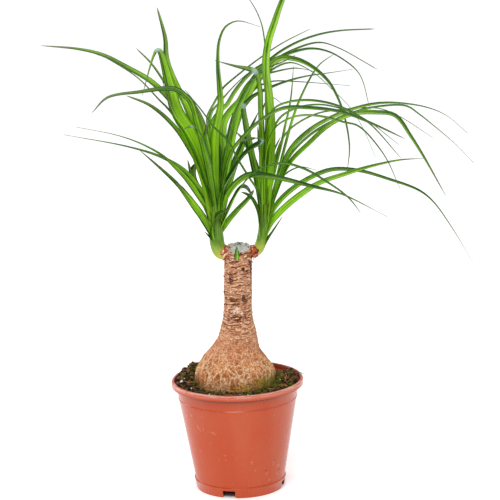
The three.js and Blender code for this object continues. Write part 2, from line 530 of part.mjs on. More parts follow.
// A channelled blade. It arches with its upper face to the sky and turns partly to the front, but
// never bends sharply edgewise: there it shows its edge instead.
function makeLeaf(leaf) {
  const [seen, taper] = leaf;
  const line = leafLine(leaf);
  const width = Math.min(WIDEST_BLADE, LEAST_WIDTH + FLAT_PER_SEEN * seen);
  const turn = Math.max(0, Math.asin(Math.min(1, seen / width)) - degrees(SHOWN_BY_ARCH));
  const stations = leafStations(line);
  const root = line.getPoint(0);
  const tip = line.getPoint(1);
  const outward = vector(tip.x - root.x, tip.y - root.y, 0).normalize();
  const levelSide = outward.clone().cross(UP);
  const rings = [];
  for (const share of stations.slice(0, -1)) {
    const point = line.getPoint(share);
    const ahead = line.getTangent(share);
    const breadth = Math.min(MOST_BREADTH, ROOT_BREADTH + BREADTH_GAIN * share);
    const spread = breadth * (1 - share ** END_CURVE) ** taper;
    const half = Math.max(LEAST_HALF, width * spread / 2);
    const earlier = Math.max(0, share - BEND_SPAN);
    const later = Math.min(1, share + BEND_SPAN);
    const span = line.getPoint(earlier).distanceTo(line.getPoint(later));
    const bend = line.getTangent(later).sub(line.getTangent(earlier)).length() / span;
    const turnHere = Math.min(turn, Math.asin(Math.min(1, BEND_LIMIT / (half * bend + 1e-6))));
    const toFront = VIEWPOINT.clone().sub(point).projectOnPlane(ahead).normalize();
    const side = levelSide.clone().projectOnPlane(ahead).normalize();
    const natural = side.clone().cross(ahead);
    const face = natural.multiplyScalar(Math.cos(turnHere)).addScaledVector(toFront, Math.sin(turnHere))
      .projectOnPlane(ahead).normalize();
    const across = ahead.clone().cross(face);
    const rise = BLADE_FOLD * half;
    rings.push([
      point.clone().addScaledVector(face, BLADE_THICKNESS / 2),
      point.clone().addScaledVector(across, half).addScaledVector(face, rise),
      point.clone().addScaledVector(face, -BLADE_THICKNESS / 2),
      point.clone().addScaledVector(across, -half).addScaledVector(face, rise),
    ]);
  }
  const start = root.clone().addScaledVector(line.getTangent(0), -BLADE_FOOT);
  return toSolid(skin(start, rings, tip));
}

function makeHead(stem, leaves) {
  let head = makeStem(stem, 0);
  for (const leaf of leaves) head = head.add(makeLeaf(leaf));
  return head;
}

// The bud grows out of the bark on the front of the trunk; extra widens it into the room that it takes up.
function makeBud(extra) {
  const thick = BUD_HALF_THICKNESS + extra;
  const rings = BUD_SECTIONS.map(({ middle: [x, y, z], half }) => {
    const wide = half + extra;
    return [vector(x, y + thick, z), vector(x - wide, y, z), vector(x, y - thick, z), vector(x + wide, y, z)];
  });
  const start = vector(...BUD_ROOT).add(vector(0, extra, -extra));
  const tip = vector(...BUD_TIP).add(vector(0, 0, extra));
  return toSolid(skin(start, rings, tip));
}

const materials = {
  terracottaPlastic: new THREE.MeshStandardMaterial({ color: 0xc95f3d, roughness: 0.32, metalness: 0 }),
  soil: new THREE.MeshStandardMaterial({ color: 0x2e2719, roughness: 0.95, metalness: 0 }),
  bark: new THREE.MeshStandardMaterial({ color: 0xc08a60, roughness: 0.85, metalness: 0 }),
  leaf: new THREE.MeshStandardMaterial({ color: 0x4f9a1e, roughness: 0.45, metalness: 0 }),
  youngLeaf: new THREE.MeshStandardMaterial({ color: 0x6fb02c, roughness: 0.45, metalness: 0 }),
};

const palm = new THREE.Group();

function addPiece(name, solid, material) {
  const mesh = new THREE.Mesh(toGeometry(solid), material);
  mesh.name = name;
  palm.add(mesh);
}

const stemRooms = [makeStem(LEFT_STEM, STEM_GAP), makeStem(RIGHT_STEM, STEM_GAP)];
addPiece('pot', makePot(), materials.terracottaPlastic);
addPiece('soil', makeSoil(makeBulbRoom()), materials.soil);
addPiece('trunk', makeTrunk([...stemRooms, makeBud(BUD_ROOM)]), materials.bark);
addPiece('left_head', makeHead(LEFT_STEM, LEFT_LEAVES), materials.leaf);
addPiece('right_head', makeHead(RIGHT_STEM, RIGHT_LEAVES), materials.leaf);
addPiece('side_bud', makeBud(0), materials.youngLeaf);

export default palm;
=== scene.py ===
import math
import random

import bmesh
import bpy
from bpy.props import FloatProperty, FloatVectorProperty, IntProperty, PointerProperty
from bpy.types import Operator, Panel, PropertyGroup
from mathutils import Matrix, Vector, noise


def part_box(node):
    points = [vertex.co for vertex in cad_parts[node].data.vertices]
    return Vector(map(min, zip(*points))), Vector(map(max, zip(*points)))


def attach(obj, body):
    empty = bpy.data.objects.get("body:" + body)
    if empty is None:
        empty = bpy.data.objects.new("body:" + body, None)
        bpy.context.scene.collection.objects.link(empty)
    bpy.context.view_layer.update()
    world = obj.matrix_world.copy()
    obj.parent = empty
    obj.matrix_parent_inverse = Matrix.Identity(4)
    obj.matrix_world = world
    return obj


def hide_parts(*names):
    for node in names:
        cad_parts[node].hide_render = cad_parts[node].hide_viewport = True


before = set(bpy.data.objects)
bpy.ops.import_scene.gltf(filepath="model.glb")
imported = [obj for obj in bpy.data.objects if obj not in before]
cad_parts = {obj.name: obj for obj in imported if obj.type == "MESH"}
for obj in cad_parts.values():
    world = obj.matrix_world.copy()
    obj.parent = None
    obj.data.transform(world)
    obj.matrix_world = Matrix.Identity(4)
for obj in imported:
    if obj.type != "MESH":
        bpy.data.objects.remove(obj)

bl_info = {
    "name": "Potted ponytail palm",
    "version": (1, 0, 0),
    "blender": (4, 5, 0),
    "location": "View3D > Sidebar > Palm",
    "description": "Dresses the ponytail palm: pot, soil, bark, cut top, shoots and leaves",
    "category": "Object",
}

MM = 0.001
NOISE_SEED = 1795873135       # without a seed, noise_vector takes a new pattern from the clock
CAMERA_PLACE = (0.015, -1.826, 0.625)
POT_LOW, POT_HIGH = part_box("pot")
TRUNK_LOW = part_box("trunk")[0]
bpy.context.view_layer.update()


def srgb(red, green, blue):
    """A colour given as screen values from 0 to 255, as the linear colour that a shader takes."""
    linear = []
    for value in (red, green, blue):
        share = value / 255
        linear.append(share / 12.92 if share <= 0.04045 else ((share + 0.055) / 1.055) ** 2.4)
    return tuple(linear)


def length(name, description, default):
    """A setting that is a length in metres."""
    return FloatProperty(name=name, description=description, default=default, unit="LENGTH")


def colour(name, description, default):
    """A setting that is a colour."""
    return FloatVectorProperty(name=name, description=description, default=default, subtype="COLOR",
                               min=0, max=1)


# Settings that a user would change

class PotSettings(PropertyGroup):
    """Sizes and colours of the nursery pot"""
    rim_radius: length("Rim radius", "Outside of the lip", (POT_HIGH.x - POT_LOW.x) / 2)
    height: length("Height", "From the surface to the top of the lip", POT_HIGH.z)
    wall: length("Wall", "Thickness of the plastic", 1.5 * MM)
    wall_foot_radius: length("Wall radius at the foot", "Outside of the wall above the foot", 41 * MM)
    wall_top_radius: length("Wall radius at the lip", "Outside of the wall under the lip", 56 * MM)
    foot_radius: length("Foot radius", "Outside of the foot ring", 40.2 * MM)
    foot_height: length("Foot height", "Height of the foot ring", 9.5 * MM)
    lip_depth: length("Lip depth", "Height of the beaded lip", 5.5 * MM)
    step_height: length("Stacking step", "Height of the faint step in the wall", 85 * MM)
    slot_width: length("Slot width", "Width of each drain slot", 11.7 * MM)
    slot_height: length("Slot height", "Height of each drain slot", 6.9 * MM)
    plastic: colour("Plastic", "Terracotta-coloured plastic", srgb(186, 64, 4))
    # Faded plastic; the same colour paints the upright bands of painted sheen.
    faded_and_sheen: colour("Faded plastic", "Where the plastic is rubbed or chalky", srgb(190, 86, 48))
    # Painted highlight: this pale colour along the lip stands in for the sheen on its bead.
    painted_lip_highlight: colour("Chalky rim", "Pale bloom on the lip", srgb(232, 178, 164))
    # Painted shade with some dirt: this dark colour paints the shade under the lip, inside the pot and behind
    # the slots.
    grime_and_shade: colour("Grime", "Dirt under the lip and inside the pot", srgb(116, 34, 10))
    water_mark: colour("Water marks", "Dried drops and dust", srgb(228, 158, 128))


class SoilSettings(PropertyGroup):
    """The soil with what lies and grows on it"""
    level: length("Soil level", "Height of the soil beside the bulb", 97 * MM)
    crumbs: IntProperty(name="Crumbs", description="Loose crumbs of peat", default=1100)
    moss_tufts: IntProperty(name="Moss tufts", description="Tufts of moss", default=520)
    grains: IntProperty(name="White grains", description="Grains of perlite", default=12)
    roots: IntProperty(name="Root bits", description="Bits of root and twig", default=46)
    peat: colour("Peat", "Dark moist peat", srgb(36, 27, 16))
    peat_light: colour("Dry peat", "Drier fibres of peat", srgb(112, 84, 54))
    moss: colour("Moss", "Moss in the light", srgb(124, 138, 34))
    moss_dark: colour("Dark moss", "Moss in the shade", srgb(36, 48, 14))
    moss_young: colour("Young moss", "Yellow moss on the bulb's foot", srgb(214, 158, 50))
    crumb: colour("Crumbs", "Crumbs of brown fibre", srgb(124, 88, 60))
    grain: colour("White grain", "Perlite", srgb(238, 236, 226))


class TrunkSettings(PropertyGroup):
    """Bark, cut face and collars"""
    net_cell: length("Net cell", "Width of a cell in the bulb's bark", 4.1 * MM)
    ridge_height: length("Ridge height", "How far the net stands out", 0.7 * MM)
    scar_spacing: length("Scar spacing", "Height between rings of leaf scars", 3.9 * MM)
    # The ridge colour also paints a little highlight on the raised net of the bulb.
    ridge: colour("Ridges", "Corky ridges of the net", srgb(255, 216, 170))
    groove: colour("Grooves", "Bark between the ridges", srgb(128, 56, 14))
    bark: colour("Bulb skin", "Ochre skin of the bulb", srgb(230, 156, 96))
    stem: colour("Stem bark", "Bark of the stem", srgb(238, 175, 135))
    peeled: colour("Peeled bark", "Fresh pale patches where bark has come off", srgb(255, 228, 206))
    crack: colour("Cracks", "Deep cracks and scars", srgb(84, 36, 20))
    cut: colour("Cut face", "Weathered grey wood of the cut top", srgb(204, 202, 198))
    cut_fibre: colour("Cut fibres", "Darker fibres in the cut", srgb(70, 66, 54))
    collar: colour("Collar", "Orange skin round each shoot", srgb(206, 104, 62))
    collar_pale: colour("Collar rim", "Pale papery edges of the collars", srgb(244, 190, 166))


class LeafSettings(PropertyGroup):
    """Blades, shoots and bud"""
    thickness: length("Thickness", "Thickness of a blade", 0.55 * MM)
    widest: length("Widest blade", "Width of the broadest blades", 15 * MM)
    bright: colour("Bright green", "Leaves in full light", srgb(160, 224, 32))
    # Painted shade: besides older leaves, this colour is the shaded end of the blend with the bright green of
    # leaves in full light.
    dark: colour("Dark green", "Older leaves", srgb(26, 88, 10))
    base: colour("Leaf base", "Pale foot of a leaf", srgb(176, 206, 66))
    glint: colour("Glint", "Bright lines along the blades", srgb(224, 242, 158))
    sheath: colour("Sheath", "Clasping leaf bases of a shoot", srgb(132, 170, 44))
    sheath_dark: colour("Dark sheath", "Darker lines in them", srgb(48, 98, 14))
    sheath_foot: colour("Sheath foot", "Where a shoot leaves its collar", srgb(200, 208, 84))
    deep: colour("Outer leaf", "Thin outer parts of the leaves", srgb(34, 62, 18))
    # Pale undersides; the same colour paints the sheen on sharp folds.
    silver_and_sheen: colour("Silver", "Folds and undersides", srgb(176, 204, 200))
    dry: colour("Dry tip", "Withered tips", srgb(116, 116, 96))


class StageSettings(PropertyGroup):
    """Camera, lights and floor"""
    camera_place: FloatVectorProperty(name="Camera place", description="Where the camera stands",
                                      default=CAMERA_PLACE, subtype="XYZ", unit="LENGTH")
    camera_pitch: FloatProperty(name="Camera pitch", description="How far the camera looks down",
                                default=math.radians(12.5), unit="ROTATION")
    camera_roll: FloatProperty(name="Camera roll", description="How far the camera leans",
                               default=math.radians(1.7), unit="ROTATION")
    lens: FloatProperty(name="Lens", description="Focal length in millimetres", default=150)
    sky: FloatProperty(name="Surroundings", description="Strength of the white surroundings", default=0.4)
    sun: FloatProperty(name="Sun", description="Strength of the broad sun above the camera", default=1.75)
    strips: FloatProperty(name="Strip lights", description="Power of the tall light at the left",
                          default=5.5, unit="POWER")
    right_strip: FloatProperty(name="Right strip", description="Share of that power that the right one has",
                               default=0.45)
    top: FloatProperty(name="Top light", description="Power of the light behind and above", default=5,
                       unit="POWER")
    floor_glow: FloatProperty(name="Floor glow", description="Light that the white floor gives by itself",
                              default=0.32)
    floor_span: length("Floor span", "Side of the square floor", 60)


# Small helpers for modelling

def settings(name):
    """A group of settings in this scene."""
    return getattr(bpy.context.scene, name)


def pick(*pieces):
    """Selects these pieces alone and makes the first one active."""
    bpy.ops.object.select_all(action="DESELECT")
    for piece in pieces:
        piece.select_set(True)
    bpy.context.view_layer.objects.active = pieces[0]


def join(pieces, name):
    """Makes one piece of several."""
    pick(*pieces)
    if len(pieces) > 1:
        bpy.ops.object.join()
    joined = bpy.context.object
    joined.name = name
    joined.data.name = name
    return joined


def settle(piece):
    """Moves a piece's place, turn and size into its mesh."""
    pick(piece)
    bpy.ops.object.transform_apply(location=True, rotation=True, scale=True)


def apply_modifier(piece, kind, **values):
    """Adds a modifier with these values and applies it at once."""
    pick(piece)
    modifier = piece.modifiers.new(kind.title(), kind)
    for name, value in values.items():
        setattr(modifier, name, value)
    bpy.ops.object.modifier_apply(modifier=modifier.name)


def new_ball(subdivisions):
    """A ball of radius 1 at the origin, as the start of a small piece."""
    bpy.ops.mesh.primitive_ico_sphere_add(subdivisions=subdivisions, radius=1, location=(0, 0, 0))
    return bpy.context.object


def new_grid(columns, rows):
    """A flat grid from -0.5 to 0.5 each way, as the start of a sheet or a rolled tube."""
    bpy.ops.mesh.primitive_grid_add(x_subdivisions=columns, y_subdivisions=rows, size=1, location=(0, 0, 0))
    return bpy.context.object


def smooth(piece, angle):
    """Shades a piece smooth, except where its faces meet at more than an angle in degrees."""
    pick(piece)
    bpy.ops.object.shade_smooth_by_angle(angle=math.radians(angle))


def finish_piece(piece, slot, materials, *replaced):
    """Gives a piece its materials, hangs it under the root body and hides the nodes that it stands for; the
    slot is not used.
    """
    for material in materials:
        piece.data.materials.append(material)
    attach(piece, "root")
    if replaced:
        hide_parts(*replaced)


def write_look(piece, values):
    """Stores four shares for each vertex, which the piece's material reads."""
    layer = piece.data.attributes.new("look", "FLOAT_COLOR", "POINT")
    for vertex, value in enumerate(values):
        layer.data[vertex].color = value


def smoothstep(value, low, high):
    """A soft step from 0 at low to 1 at high."""
    share = min(1.0, max(0.0, (value - low) / (high - low)))
    return share * share * (3 - 2 * share)


def eased(low, slope_low, high, slope_high, share):
    """A value at a share of the way from low to high, on the cubic curve that has these slopes there."""
    square, cube = share ** 2, share ** 3
    return (low * (2 * cube - 3 * square + 1) + slope_low * (cube - 2 * square + share)
            + high * (3 * square - 2 * cube) + slope_high * (cube - square))


def arc(centre, radius, first, last, count):
    """Points of a profile's round corner; the angles are degrees, anticlockwise from straight out."""
    points = []
    for step in range(count + 1):
        angle = math.radians(first + (last - first) * step / count)
        points.append((centre[0] + radius * math.cos(angle), centre[1] + radius * math.sin(angle)))
    return points


def spin_profile(name, points, steps):
    """A turned body about the Z axis from (radius, height) points."""
    mesh = bpy.data.meshes.new(name)
    edges = [(index, index + 1) for index in range(len(points) - 1)]
    mesh.from_pydata([(radius, 0, height) for radius, height in points], edges, [])
    piece = bpy.data.objects.new(name, mesh)
    bpy.context.collection.objects.link(piece)
    pick(piece)
    bpy.ops.object.mode_set(mode="EDIT")
    bpy.ops.mesh.select_all(action="SELECT")
    bpy.ops.mesh.spin(steps=steps, angle=math.tau, center=(0, 0, 0), axis=(0, 0, 1))
    bpy.ops.mesh.select_all(action="SELECT")
    bpy.ops.mesh.remove_doubles(threshold=0.01 * MM)
    bpy.ops.mesh.normals_make_consistent(inside=False)
    bpy.ops.object.mode_set(mode="OBJECT")
    return piece


def close_tube(piece):
    """Joins the two long edges of a rolled grid, closes its ends and turns its faces outwards."""
    pick(piece)
    bpy.ops.object.mode_set(mode="EDIT")
    bpy.ops.mesh.select_all(action="SELECT")
    bpy.ops.mesh.remove_doubles(threshold=0.01 * MM)
    bpy.ops.mesh.select_all(action="DESELECT")
    bpy.ops.mesh.select_non_manifold()
    bpy.ops.mesh.fill_holes(sides=0)
    bpy.ops.mesh.select_all(action="SELECT")
    bpy.ops.mesh.normals_make_consistent(inside=False)
    bpy.ops.object.mode_set(mode="OBJECT")


def copy_at(pattern, place, turn, size):
    """A copy of a small pattern piece with its own mesh."""
    copy = pattern.copy()
    copy.data = pattern.data.copy()
    scale = Matrix.Diagonal((*size, 1))
    copy.data.transform(Matrix.Translation(place) @ turn.to_4x4() @ scale)
    bpy.context.collection.objects.link(copy)
    return copy


def scatter(pattern, name, places):
    """Copies a pattern to many (place, turn, size) places and joins the copies."""
    copies = [copy_at(pattern, *place) for place in places]
    bpy.data.objects.remove(pattern)
    return join(copies, name)


def roughen(piece, amount, scale, seed):
    """Pushes a small lump's points in and out."""
    for vertex in piece.data.vertices:
        push = noise.noise(vertex.co * scale + Vector((seed, 0, 0)))
        vertex.co *= 1 + amount * push


def roughen_places(piece):
    """Gives joined copies uneven faces, by a push that follows each point's place."""
    noise.seed_set(NOISE_SEED)
    for vertex in piece.data.vertices:
        vertex.co += noise.noise_vector(vertex.co / (1.1 * MM)) * 0.3 * MM


def bent_tube(name, points, radii, sides):
    """A bent tube with closed ends along a list of points."""
    shape = bmesh.new()
    rings = []
    for index, point in enumerate(points):
        before = points[max(0, index - 1)]
        after = points[min(len(points) - 1, index + 1)]
        turn = (after - before).to_track_quat("Z", "Y")
        ring = []
        for side in range(sides):
            angle = math.tau * side / sides
            spoke = turn @ Vector((math.cos(angle), math.sin(angle), 0))
            ring.append(shape.verts.new(point + spoke * radii[index]))
        rings.append(ring)
    for low, high in zip(rings, rings[1:]):
        for side in range(sides):
            following = (side + 1) % sides
            shape.faces.new((low[side], low[following], high[following], high[side]))
    shape.faces.new(rings[0][::-1])
    shape.faces.new(rings[-1])
    mesh = bpy.data.meshes.new(name)
    shape.to_mesh(mesh)
    shape.free()
    piece = bpy.data.objects.new(name, mesh)
    bpy.context.collection.objects.link(piece)
    return piece


# Small helpers for materials

def node(tree, kind, values=None, **facts):
    """A shader node with its options and the values of its free inputs."""
    made = tree.nodes.new(kind)
    for name, value in facts.items():
        setattr(made, name, value)
    for socket, value in (values or {}).items():
        made.inputs[socket].default_value = value
    return made


def new_surface(name, roughness, **values):
    """A material, its node tree and its shader node."""
    material = bpy.data.materials.new(name)
    material.use_nodes = True
    tree = material.node_tree
    shader = tree.nodes["Principled BSDF"]
    shader.inputs["Roughness"].default_value = roughness
    for socket, value in values.items():
        shader.inputs[socket.replace("_", " ")].default_value = value
    return material, tree, shader


def object_place(tree):
    """The place of a point in the object's own coordinates, in metres."""
    return node(tree, "ShaderNodeTexCoord").outputs["Object"]


def stretched(tree, place, scale):
    """Coordinates multiplied by a scale for each axis."""
    mapping = node(tree, "ShaderNodeMapping", {"Scale": scale})
    tree.links.new(place, mapping.inputs["Vector"])
    return mapping.outputs["Vector"]


def clouds(tree, place, scale, detail=3.0, rough=0.55):
    """Noise from 0 to 1."""
    texture = node(tree, "ShaderNodeTexNoise", {"Scale": scale, "Detail": detail, "Roughness": rough})
    tree.links.new(place, texture.inputs["Vector"])
    return texture.outputs["Fac"]


def limits(tree, value, low, high, to_low=0.0, to_high=1.0):
    """Stretches a value's range from low..high to to_low..to_high, without overshoot."""
    ranged = node(tree, "ShaderNodeMapRange", {"From Min": low, "From Max": high, "To Min": to_low,
                                               "To Max": to_high})
    ranged.clamp = True
    tree.links.new(value, ranged.inputs["Value"])
    return ranged.outputs["Result"]


def warped(tree, place, scale, push):
    """Coordinates pushed about by a noise, so that a pattern on them runs unevenly."""
    texture = node(tree, "ShaderNodeTexNoise", {"Scale": scale, "Detail": 2.0})
    tree.links.new(place, texture.inputs["Vector"])
    shift = node(tree, "ShaderNodeVectorMath", operation="MULTIPLY_ADD")
    shift.inputs[1].default_value = (push, push, push)
    tree.links.new(texture.outputs["Color"], shift.inputs[0])
    tree.links.new(place, shift.inputs[2])
    return shift.outputs["Vector"]


def cell_borders(tree, place, scale, width):
    """1 on the borders between the cells of a random net, and 0 inside them."""
    net = node(tree, "ShaderNodeTexVoronoi", {"Scale": scale}, feature="DISTANCE_TO_EDGE")
    tree.links.new(place, net.inputs["Vector"])
    return limits(tree, net.outputs["Distance"], width, 0)


def spot_distance(tree, place, scale):
    """How far a place is from the nearest of many scattered spots, as a share of their spacing."""
    spots = node(tree, "ShaderNodeTexVoronoi", {"Scale": scale})
    tree.links.new(place, spots.inputs["Vector"])
    return spots.outputs["Distance"]


def coordinates(tree, place):
    """The three coordinates of a place as values."""
    parts = node(tree, "ShaderNodeSeparateXYZ")
    tree.links.new(place, parts.inputs["Vector"])
    return parts.outputs["X"], parts.outputs["Y"], parts.outputs["Z"]


def distance_from_axis(tree, across, deep):
    """How far a point lies from the upright axis."""
    level = node(tree, "ShaderNodeCombineXYZ")
    tree.links.new(across, level.inputs["X"])
    tree.links.new(deep, level.inputs["Y"])
    from_axis = node(tree, "ShaderNodeVectorMath", operation="LENGTH")
    tree.links.new(level.outputs["Vector"], from_axis.inputs[0])
    return from_axis.outputs["Value"]


def reckon(tree, operation, one, other):
    """The outcome of a sum with two values, of which the second may be a number."""
    maths = node(tree, "ShaderNodeMath", operation=operation)
    tree.links.new(one, maths.inputs[0])
    if isinstance(other, (int, float)):
        maths.inputs[1].default_value = other
    else:
        tree.links.new(other, maths.inputs[1])
    return maths.outputs["Value"]


def times(tree, one, other):
    return reckon(tree, "MULTIPLY", one, other)


def plus(tree, one, other):
    return reckon(tree, "ADD", one, other)


def larger(tree, one, other):
    return reckon(tree, "MAXIMUM", one, other)


def blend(tree, share, first, second):
    """Mixes two colours, each a colour or a socket, by a share from 0 to 1."""
    mix = node(tree, "ShaderNodeMix", data_type="RGBA", clamp_factor=True)
    tree.links.new(share, mix.inputs["Factor"])
    for socket, value in (("A", first), ("B", second)):
        spot = [entry for entry in mix.inputs if entry.name == socket and entry.type == "RGBA"][0]
        if isinstance(value, bpy.types.NodeSocket):
            tree.links.new(value, spot)
        else:
            spot.default_value = (*value, 1)
    return [entry for entry in mix.outputs if entry.type == "RGBA"][0]


def raise_bumps(tree, shader, height, strength, distance):
    """Fine relief from a value."""
    bump = node(tree, "ShaderNodeBump", {"Strength": strength, "Distance": distance})
    tree.links.new(height, bump.inputs["Height"])
    tree.links.new(bump.outputs["Normal"], shader.inputs["Normal"])


def look_shares(tree):
    """The four shares that write_look stored."""
    stored = node(tree, "ShaderNodeAttribute", attribute_name="look")
    parts = node(tree, "ShaderNodeSeparateColor")
    tree.links.new(stored.outputs["Color"], parts.inputs["Color"])
    return parts.outputs["Red"], parts.outputs["Green"], parts.outputs["Blue"], stored.outputs["Alpha"]


# Pot

SLOT_COUNT = 4
FIRST_SLOT_TURN = -15         # degrees from the front, towards the right
PAD_RADIUS = 25 * MM
CHANNEL_HEIGHT = 7 * MM
CHANNEL_INNER = 27.5 * MM
CHANNEL_OUTER = 37.5 * MM
DRAIN_RADIUS = 3.5 * MM
POT_STEPS = 160


def wall_radius(height):
    """Outside of the pot's wall at a height."""
    pot = settings("palm_pot")
    lip_foot = pot.height - pot.lip_depth
    share = (height - pot.foot_height) / (lip_foot - pot.foot_height)
    return pot.wall_foot_radius + share * (pot.wall_top_radius - pot.wall_foot_radius)


def pot_profile():
    """The pot's section, from the middle of its underside round to the middle of its floor."""
    pot = settings("palm_pot")
    lip_foot = pot.height - pot.lip_depth
    floor_height = CHANNEL_HEIGHT + pot.wall
    corner = 0.6 * MM
    bead = 1.6 * MM
    inner_bead = 1.1 * MM
    step = pot.step_height
    step_radius = wall_radius(step)
    inner_lip = pot.rim_radius - 2 * bead + 0.3 * MM
    profile = [(0, 0), (PAD_RADIUS, 0), (CHANNEL_INNER, CHANNEL_HEIGHT), (CHANNEL_OUTER, CHANNEL_HEIGHT)]
    profile += [(pot.foot_radius - 2 * MM, 0)]
    profile += arc((pot.foot_radius - corner, corner), corner, -90, 0, 4)
    profile += arc((pot.foot_radius + 0.9 * MM, pot.foot_height - 0.5 * MM), 0.8 * MM, -50, 90, 6)
    profile += [(pot.wall_foot_radius - 0.1 * MM, pot.foot_height + 0.9 * MM)]
    profile += [(step_radius - 0.3 * MM, step - 0.6 * MM), (step_radius + 0.25 * MM, step - 0.1 * MM)]
    profile += [(step_radius + 0.3 * MM, step + 0.25 * MM), (step_radius, step + 0.8 * MM)]
    profile += [(pot.wall_top_radius - 0.5 * MM, lip_foot - 0.9 * MM)]
    profile += [(pot.wall_top_radius, lip_foot + 0.1 * MM)]
    profile += arc((pot.rim_radius - corner, lip_foot + corner), corner, -90, 0, 4)
    profile += arc((pot.rim_radius - bead, pot.height - bead), bead, 0, 90, 8)
    profile += arc((inner_lip + inner_bead, pot.height - inner_bead), inner_bead, 90, 180, 5)
    profile += [(inner_lip - 0.3 * MM, lip_foot + 0.6 * MM)]
    profile += [(wall_radius(lip_foot) - pot.wall, lip_foot - 1 * MM)]
    profile += [(wall_radius(floor_height) - pot.wall, floor_height)]
    profile += [(CHANNEL_INNER - pot.wall, floor_height)]
    profile += [(PAD_RADIUS - pot.wall, pot.wall), (0, pot.wall)]
    return profile


def pot_cutters():
    """Boxes for the slots in the foot ring and pins for the drain holes, joined."""
    pot = settings("palm_pot")
    cutters = []
    reach = pot.rim_radius - CHANNEL_OUTER + 3 * MM
    for index in range(SLOT_COUNT):
        turn = Matrix.Rotation(math.radians(FIRST_SLOT_TURN + index * 360 / SLOT_COUNT), 4, "Z")
        slot_place = turn @ Vector((0, -(CHANNEL_OUTER - 3 * MM) - reach / 2, 0))
        bpy.ops.mesh.primitive_cube_add(size=1, location=slot_place, rotation=turn.to_euler(),
                                        scale=(pot.slot_width, reach, 2 * pot.slot_height))
        cutters.append(bpy.context.object)
        drain_place = turn @ Vector((0, -(CHANNEL_INNER + CHANNEL_OUTER) / 2, CHANNEL_HEIGHT))
        bpy.ops.mesh.primitive_cylinder_add(vertices=32, radius=DRAIN_RADIUS, depth=6 * MM,
                                            location=drain_place)
        cutters.append(bpy.context.object)
    cutter = join(cutters, "pot_cutter")
    settle(cutter)
    return cutter


def make_pot():
    """The pot: its section turned about the axis, with the slots and drain holes cut out."""
    pot = spin_profile("pot_shell", pot_profile(), POT_STEPS)
    cutter = pot_cutters()
    apply_modifier(pot, "BOOLEAN", operation="DIFFERENCE", solver="EXACT", object=cutter)
    bpy.data.objects.remove(cutter)
    apply_modifier(pot, "BEVEL", width=0.25 * MM, segments=2, limit_method="ANGLE",
                   angle_limit=math.radians(50))
    smooth(pot, 35)
    return pot


def lip_highlight_share(tree, place):
    """The share of painted highlight along the top of the lip: pale streaks, strongest at its edge."""
    pot = settings("palm_pot")
    _, _, height = coordinates(tree, place)
    near_top = limits(tree, height, pot.height - 4 * MM, pot.height - 0.6 * MM)
    streaks = clouds(tree, stretched(tree, place, (70, 70, 900)), 1, 3, 0.6)
    return times(tree, near_top, limits(tree, streaks, 0.4, 0.6, 0.2, 1))


def grime_and_shade_share(tree, place):
    """The share of dirt and painted shade: a dark line under the lip, the inside of the wall and the hollow
    behind the slots.
    """
    pot = settings("palm_pot")
    across, deep, height = coordinates(tree, place)
    lip_foot = pot.height - pot.lip_depth
    # Painted shade: a dark line in the corner under the lip.
    line = times(tree, limits(tree, height, lip_foot - 3.2 * MM, lip_foot - 0.8 * MM),
                 limits(tree, height, lip_foot + 0.9 * MM, lip_foot + 0.3 * MM, 0, 0.95))
    # Painted shade inside the wall, inside the lip and in the hollow behind the slots.
    from_axis = distance_from_axis(tree, across, deep)
    slope = (pot.wall_top_radius - pot.wall_foot_radius) / (lip_foot - pot.foot_height)
    reach = plus(tree, from_axis, times(tree, height, -slope))
    middle = wall_radius(0) - pot.wall / 2
    inside = limits(tree, reach, middle, middle - 0.3 * MM, 0, 0.85)
    lip_edge = pot.rim_radius - 1.8 * MM
    lip_inside = times(tree, limits(tree, from_axis, lip_edge, lip_edge - 0.7 * MM, 0, 0.85),
                       limits(tree, height, lip_foot + 0.4 * MM, lip_foot + MM))
    ring_inside = pot.foot_radius - MM
    hollow = times(tree, limits(tree, from_axis, ring_inside, ring_inside - MM),
                   limits(tree, height, pot.foot_height, pot.foot_height - MM))
    return larger(tree, line, larger(tree, larger(tree, inside, lip_inside), hollow))


